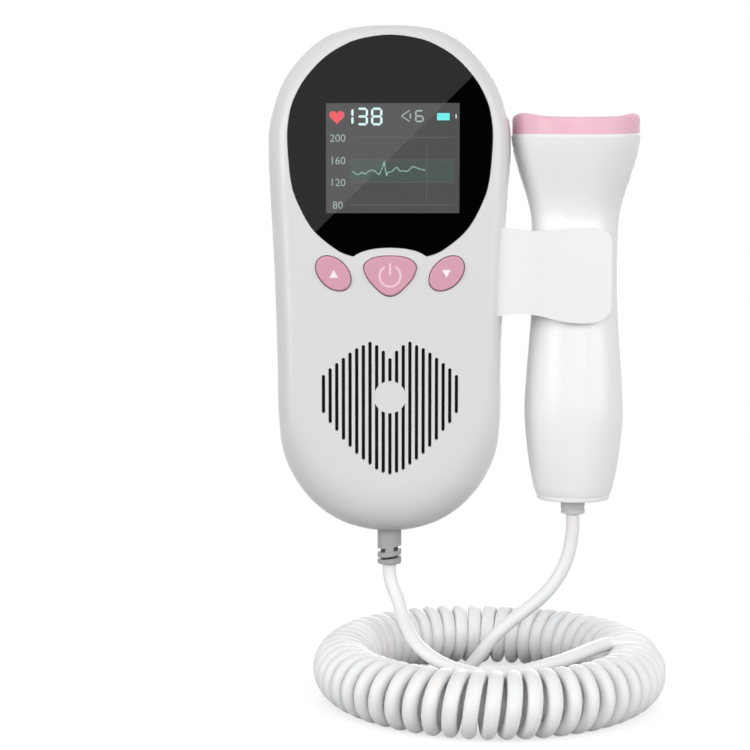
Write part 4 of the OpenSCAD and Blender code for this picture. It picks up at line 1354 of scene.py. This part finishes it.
@dataclass
class Cord:
    """The curly cord: a lead from the unit, curls that lie in a ring, a lead to the probe."""

    diameter: float = 4.0  # of the curls
    lead_share: float = 0.925  # how thick the leads are against the curls
    centre: tuple[float, float] = (27.6, -17)
    ring_r: float = 40.1
    curl_r: float = 6.75
    centre_z: float = -107.25
    curls: float = 53.5
    curl_step: float = 6.55
    ring_start: float = -6
    curl_start: float = 90
    per_curl: int = 28  # points to a curl
    lead_steps: int = 6  # points between two knots of a lead
    widening: int = 12  # points over which a lead grows to the curls' thickness
    sides: int = 5  # Blender's resolution of the round section
    straight: float = 3.0  # of each lead, where it meets the curls
    end: float = 4.0  # of the curls, straight on at each side
    unit_length: float = 2.4  # in metres, as declared
    probe_length: float = 0.15

    UNIT_ROUTE = [
        (0, -17, -78.3), (0, -17, -81), (0.8, -17.7, -84.5), (2.4, -19.6, -88.2),
        (3.9, -24, -92.8), (6.5, -30, -97), (10.7, -36, -99.9), (15.8, -41, -101.6),
        (20.9, -43.6, -102.5), (26.1, -44.6, -102.8), (31.3, -44.4, -102.6),
        (36.7, -42.8, -101.9), (42.1, -39.6, -101.3), (47.3, -35.2, -100.9), (51.6, -30, -100.7),
        (55.4, -24.8, -100.6)]
    PROBE_ROUTE = [
        (50.8, -17, -64.3), (50.8, -17, -68.5), (50.3, -17, -73), (49, -17, -78),
        (46.4, -17, -83), (43, -17, -87.2), (38.8, -17, -90.8), (33.8, -17, -94.8),
        (29, -17, -99.2), (25.6, -17, -103.6), (22, -17.2, -108), (17.6, -17.4, -111.8),
        (12.4, -17, -113.8), (7, -14.6, -114), (3.6, -10, -114), (3.4, -4.6, -114),
        (6.6, -0.4, -114), (12, 1.6, -114), (19, 1.4, -114), (27, -1, -114),
        (35, -4.6, -114), (43, -8.6, -114), (50, -11.8, -114), (55.5, -13.4, -114)]

    def curl_point(self, t: float) -> Vector:
        """The point t curls from where the curls start."""
        ring = math.radians(self.ring_start - self.curl_step * t)
        turn = math.radians(self.curl_start - 360 * t)
        r = self.ring_r + self.curl_r * math.cos(turn)
        return Vector((self.centre[0] + r * math.cos(ring), self.centre[1] + r * math.sin(ring),
                       self.centre_z + self.curl_r * math.sin(turn)))

    def curl_run(self, t: float) -> Vector:
        """The direction of the curls at that point."""
        return (self.curl_point(t + 0.01) - self.curl_point(t - 0.01)).normalized()

    def curl_points(self) -> list[Vector]:
        """The centreline of the curls, with a straight end at each side."""
        count = round(self.curls * self.per_curl)
        return [self.curl_point(0) - self.end * self.curl_run(0),
                *[self.curl_point(self.curls * i / count) for i in range(count + 1)],
                self.curl_point(self.curls) + self.end * self.curl_run(self.curls)]

    def thickness(self, left: int) -> float:
        """How thick a lead is against the curls, so many points before it meets them."""
        return self.lead_share + (1 - self.lead_share) * max(1 - left / self.widening, 0.0)

    def tube(self, name: str, points: Sequence[Vector], lead: int) -> bpy.types.Object:
        """A round tube along points in millimetres, as a curve of one open spline.

        Args:
            name: Name of the piece.
            points: The points it follows.
            lead: How many of them, from the first, are on the lead.

        Returns:
            The object.
        """
        curve = bpy.data.curves.new(name, "CURVE")
        curve.dimensions = "3D"
        curve.bevel_depth = self.diameter / 2 * MM
        curve.bevel_resolution = self.sides
        curve.use_fill_caps = True
        curve.twist_mode = "MINIMUM"
        spline = curve.splines.new("POLY")
        spline.points.add(len(points) - 1)
        for i, (slot, p) in enumerate(zip(spline.points, points)):
            slot.co = (*(Vector(p) * MM), 1)
            slot.radius = self.thickness(max(lead - i, 0))
        spline.use_smooth = True
        return placed(name, curve)

    def build(self) -> None:
        curls = self.curl_points()
        meet_unit = [curls[0] - self.straight * self.curl_run(0), curls[0]]
        lead = open_curve([*self.UNIT_ROUTE, *map(tuple, meet_unit)], self.lead_steps)[:-1]
        whole = [Vector(p) for p in lead] + curls
        first = self.tube("cord_curly", whole, len(lead))
        first.data.materials.append(Finishes.CORD.material())
        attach(first, "unit")
        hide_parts("cord_lead_unit", "cord_curls")
        tuple(Vector(self.UNIT_ROUTE[0]) * MM)

        run = self.curl_run(self.curls)
        ends = [curls[-1] + self.straight * run, curls[-1]]
        knots = [*self.PROBE_ROUTE, *map(tuple, ends)]
        path = [Vector(p) for p in open_curve(knots, self.lead_steps)]
        curve = self.tube("cord_straight", path, len(path) - 1)
        mesh = evaluated(curve)
        bpy.data.objects.remove(curve)
        second = placed("cord_straight", mesh)
        mesh.shade_smooth()
        dress(second, Finishes.CORD)
        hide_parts("cord_lead_probe")
        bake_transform(second)
        log.info("cord_curly %.3f m, cord_straight %.3f m", self.run_length(whole),
                 self.run_length(path))

    @staticmethod
    def run_length(points: Sequence[Vector]) -> float:
        """The length along points in millimetres, in metres."""
        return sum((b - a).length for a, b in zip(points, points[1:])) * MM


# ------------------------------------------------------------------------- inner pieces


INNER = {
    "lcd_frame": Finishes.STEEL, "main_board": Finishes.BOARD, "board_chips": Finishes.BLACK,
    "key_switches": Finishes.STEEL, "speaker_basket": Finishes.STEEL,
    "speaker_cone": Finishes.PAPER, "speaker_magnet": Finishes.STEEL,
    "grille_cloth": Finishes.CLOTH, "battery_cells": Finishes.SLEEVE,
    "battery_contacts": Finishes.STEEL, "clip_screws": Finishes.STEEL,
    "piezo_discs": Finishes.CERAMIC, "piezo_backing": Finishes.BACKING,
    "probe_board": Finishes.BOARD,
}


# --------------------------------------------------------------------------- the studio


@dataclass(frozen=True)
class Softbox:
    """A square soft light that faces the object."""

    name: str
    azimuth: float  # from straight ahead of the display, positive towards the probe's side
    elevation: float
    distance: float
    size: float
    power: float


@dataclass(frozen=True)
class Studio:
    """Floor, surroundings, lights, the cards that the window mirrors, and the camera."""

    lens: float = 76.8
    sensor: float = 36.0
    place: tuple[float, float, float] = (-0.004, -0.457, 0.0037)
    pitch: float = 3.86  # how far the camera looks down, in degrees
    ambient: float = 0.36
    floor_z: float = -0.116
    target: tuple[float, float, float] = (0.015, -0.017, -0.02)
    bounce_centre: tuple[float, float, float] = (0.0276, -0.017, -0.116)  # under the curls
    # The floor gives back light only from a ring below the curls, and its bounce is painted dark
    # under the unit and beyond the ring, as shade on the unit's underside: distances from its
    # centre over which that ring starts and ends, and the share of light inside it and beyond it
    bounce_start: Point2 = (0.035, 0.045)
    bounce_end: Point2 = (0.11, 0.13)
    bounce_shares: Point2 = (0.3, 0.02)
    # Distances from the target over which the shown floor turns from paint to plain white
    shadow_end: Point2 = (0.14, 0.34)
    floor_glow: float = 0.6
    # Where the edge of the mirrored card crosses the window, as x and z in millimetres
    card_edge: tuple[Point2, Point2] = ((-20.0, 12.8), (22.2, 54.4))
    card_glow: float = 0.72

    LIGHTS = (
        Softbox("right_light", 57, 12, 0.9, 0.5, 3.1),
        Softbox("left_light", -57, 12, 0.9, 0.5, 4.0),
        Softbox("front_light", 4, 18, 1.0, 0.6, 3.9),
        Softbox("back_light", 170, 10, 1.1, 0.6, 5.0),
    )

    def camera(self) -> None:
        """The camera at the photograph's place and angle."""
        data = bpy.data.cameras.new("camera")
        data.lens = self.lens
        data.sensor_width = self.sensor
        data.clip_start = 0.01
        camera = placed("camera", data)
        camera.location = self.place
        camera.rotation_euler = (math.radians(90 - self.pitch), 0, 0)
        bpy.context.scene.camera = camera

    def lights(self) -> None:
        """The softboxes."""
        for box in self.LIGHTS:
            data = bpy.data.lights.new(box.name, "AREA")
            data.size = box.size
            data.energy = box.power
            a, e = math.radians(box.azimuth), math.radians(box.elevation)
            away = Vector((math.sin(a) * math.cos(e), -math.cos(a) * math.cos(e), math.sin(e)))
            light = placed(box.name, data)
            light.location = Vector(self.target) + away * box.distance
            light.rotation_euler = away.to_track_quat("Z", "Y").to_euler()

    @staticmethod
    def by_ray(tree: bpy.types.NodeTree, unseen: bpy.types.Node,
               shown: bpy.types.Node) -> bpy.types.NodeSocket:
        """Mixes two shaders by the kind of ray that meets them.

        Args:
            tree: The tree that gets the nodes.
            unseen: The shader for light that goes round the scene.
            shown: The shader for the eye, mirrors and glass.

        Returns:
            The mixed shader.
        """
        rays = add_node(tree, "ShaderNodeLightPath").outputs
        mirror = add_node(tree, "ShaderNodeMath", {
            0: rays["Is Camera Ray"], 1: rays["Is Glossy Ray"]}, operation="MAXIMUM")
        seen = add_node(tree, "ShaderNodeMath", {
            0: mirror.outputs[0], 1: rays["Is Transmission Ray"]}, operation="MAXIMUM")
        return add_node(tree, "ShaderNodeMixShader", {
            0: seen.outputs[0], 1: unseen.outputs[0], 2: shown.outputs[0]}).outputs[0]

    def world(self) -> None:
        """White surroundings for the eye and for mirrors, at a plain level as light."""
        world = bpy.data.worlds.new("studio")
        bpy.context.scene.world = world
        tree = emptied(world)
        light, white = (
            add_node(tree, "ShaderNodeBackground", {"Color": WHITE, "Strength": strength})
            for strength in (self.ambient, 1.0))
        add_node(tree, "ShaderNodeOutputWorld", {"Surface": self.by_ray(tree, light, white)})

    def floor(self) -> None:
        """A pale floor that keeps the shadow, and gives back less light than the eye sees: its
        bounce is painted dark under the unit and beyond the curls, as shade on the unit's
        underside.
        """
        bm = bmesh.new()
        bmesh.ops.create_grid(bm, x_segments=1, y_segments=1, size=4)
        bmesh.ops.translate(bm, vec=(0, 0, self.floor_z), verts=bm.verts)
        floor = self.card("floor", bm)
        made = bpy.data.materials.new("painted_floor")
        tree = emptied(made)
        place = add_node(tree, "ShaderNodeTexCoord").outputs["Object"]
        from_bounce_centre, from_target = (
            add_node(tree, "ShaderNodeVectorMath", {0: place, 1: spot},
                     operation="DISTANCE").outputs["Value"]
            for spot in (self.bounce_centre, self.target))
        # painted shade: bounced light only from the ring below the curls, dark under the unit and
        # beyond it
        bounce = add_node(tree, "ShaderNodeMath", {
            0: ramp(tree, from_bounce_centre, self.bounce_end, self.bounce_shares),
            1: ramp(tree, from_bounce_centre, self.bounce_start)}, operation="MULTIPLY")
        paint = add_node(tree, "ShaderNodeBsdfDiffuse", {"Color": bounce.outputs[0]})
        pale = add_node(tree, "ShaderNodeBsdfDiffuse", {"Color": (0.6, 0.6, 0.6, 1)})
        lift, white = (
            add_node(tree, "ShaderNodeEmission", {"Color": WHITE, "Strength": strength})
            for strength in (self.floor_glow, 1.0))
        near = add_node(tree, "ShaderNodeAddShader", {0: pale.outputs[0], 1: lift.outputs[0]})
        shown = add_node(tree, "ShaderNodeMixShader", {
            0: ramp(tree, from_target, self.shadow_end), 1: near.outputs[0],
            2: white.outputs[0]})
        add_node(tree, "ShaderNodeOutputMaterial", {"Surface": self.by_ray(tree, paint, shown)})
        floor.data.materials.append(made)

    @staticmethod
    def card(name: str, bm: bmesh.types.BMesh) -> bpy.types.Object:
        """A piece of the studio, which isn't part of the object."""
        card = placed(name, poured(name, bm))
        return card

    def mirrored_point(self, spot: Point2, window_y: float, y: float) -> Vector:
        """Where the camera sees a plane at depth y, mirrored in a spot of the window.

        Args:
            spot: The spot on the window, as x and z in metres.
            window_y: Depth of the window's face.
            y: Depth of the plane.

        Returns:
            The point on the plane.
        """
        eye = Vector((self.place[0], 2 * window_y - self.place[1], self.place[2]))
        ray = Vector((spot[0], window_y, spot[1])) - eye
        return eye + ray * ((y - eye.y) / ray.y)

    def cards(self) -> None:
        """A pale card and a black one beside the camera, which only the mirror-smooth show."""
        window_y = corners("display_window")[0].y * MM
        behind, size, black_size = 0.04, 0.16, 0.13  # metres; how far they stand behind the eye
        y = self.place[1] - behind
        a, b = (self.mirrored_point((x * MM, z * MM), window_y, y) for x, z in self.card_edge)
        run = (b - a).normalized()
        out = Vector((-run.z, 0, run.x))
        middle = (a + b) / 2
        bm = bmesh.new()
        near, far = middle - run * size, middle + run * size
        quad = [near, far, far + out * size, near + out * size]
        bm.faces.new([bm.verts.new(p) for p in quad])
        self.finish_card(self.card("pale_card", bm), WHITE, self.card_glow)
        bm = bmesh.new()
        centre = self.mirrored_point((0, 35 * MM), window_y, y - 0.01)
        place = Matrix.Translation(centre) @ Matrix.Rotation(math.pi / 2, 4, "X")
        bmesh.ops.create_grid(bm, x_segments=1, y_segments=1, size=black_size, matrix=place)
        self.finish_card(self.card("black_card", bm), (0, 0, 0, 1), 0.0)

    @staticmethod
    def finish_card(card: bpy.types.Object, colour: tuple[float, ...], glow: float) -> None:
        """Gives a card its glow, and hides it from all but mirrors."""
        made = bpy.data.materials.new(card.name)
        tree = emptied(made)
        light = add_node(tree, "ShaderNodeEmission", {"Color": colour, "Strength": glow})
        add_node(tree, "ShaderNodeOutputMaterial", {"Surface": light.outputs[0]})
        card.data.materials.append(made)
        card.visible_camera = False
        card.visible_diffuse = False
        card.visible_shadow = False

    def build(self) -> None:
        """Sets the whole studio up."""
        self.lights()
        self.world()
        self.floor()
        self.cards()
        view = bpy.context.scene.view_settings
        view.view_transform = "Standard"


def main() -> None:
    """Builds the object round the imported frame, piece by piece."""
    logging.basicConfig(level=logging.INFO, format="%(message)s")
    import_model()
    studio = Studio()
    studio.camera()
    Cord().build()

    low, high = corners("front_shell")
    window_low, window_high = corners("display_window")
    unit = Unit(low, high, high.y, window_low, window_high)
    unit.build()
    Screen().build()

    shell_low, shell_high = corners("probe_shell")
    middle = (shell_low + shell_high) / 2
    probe = Probe(middle.x, middle.y, (shell_high.x - shell_low.x) / 2)
    probe.build()
    Clip(unit, probe, *corners("probe_clip")).build()
    for node, finish in INNER.items():
        dress(bpy.data.objects[node], finish)
    studio.build()

    log.info("studio and object are in place")


if __name__ == "__main__":
    main()
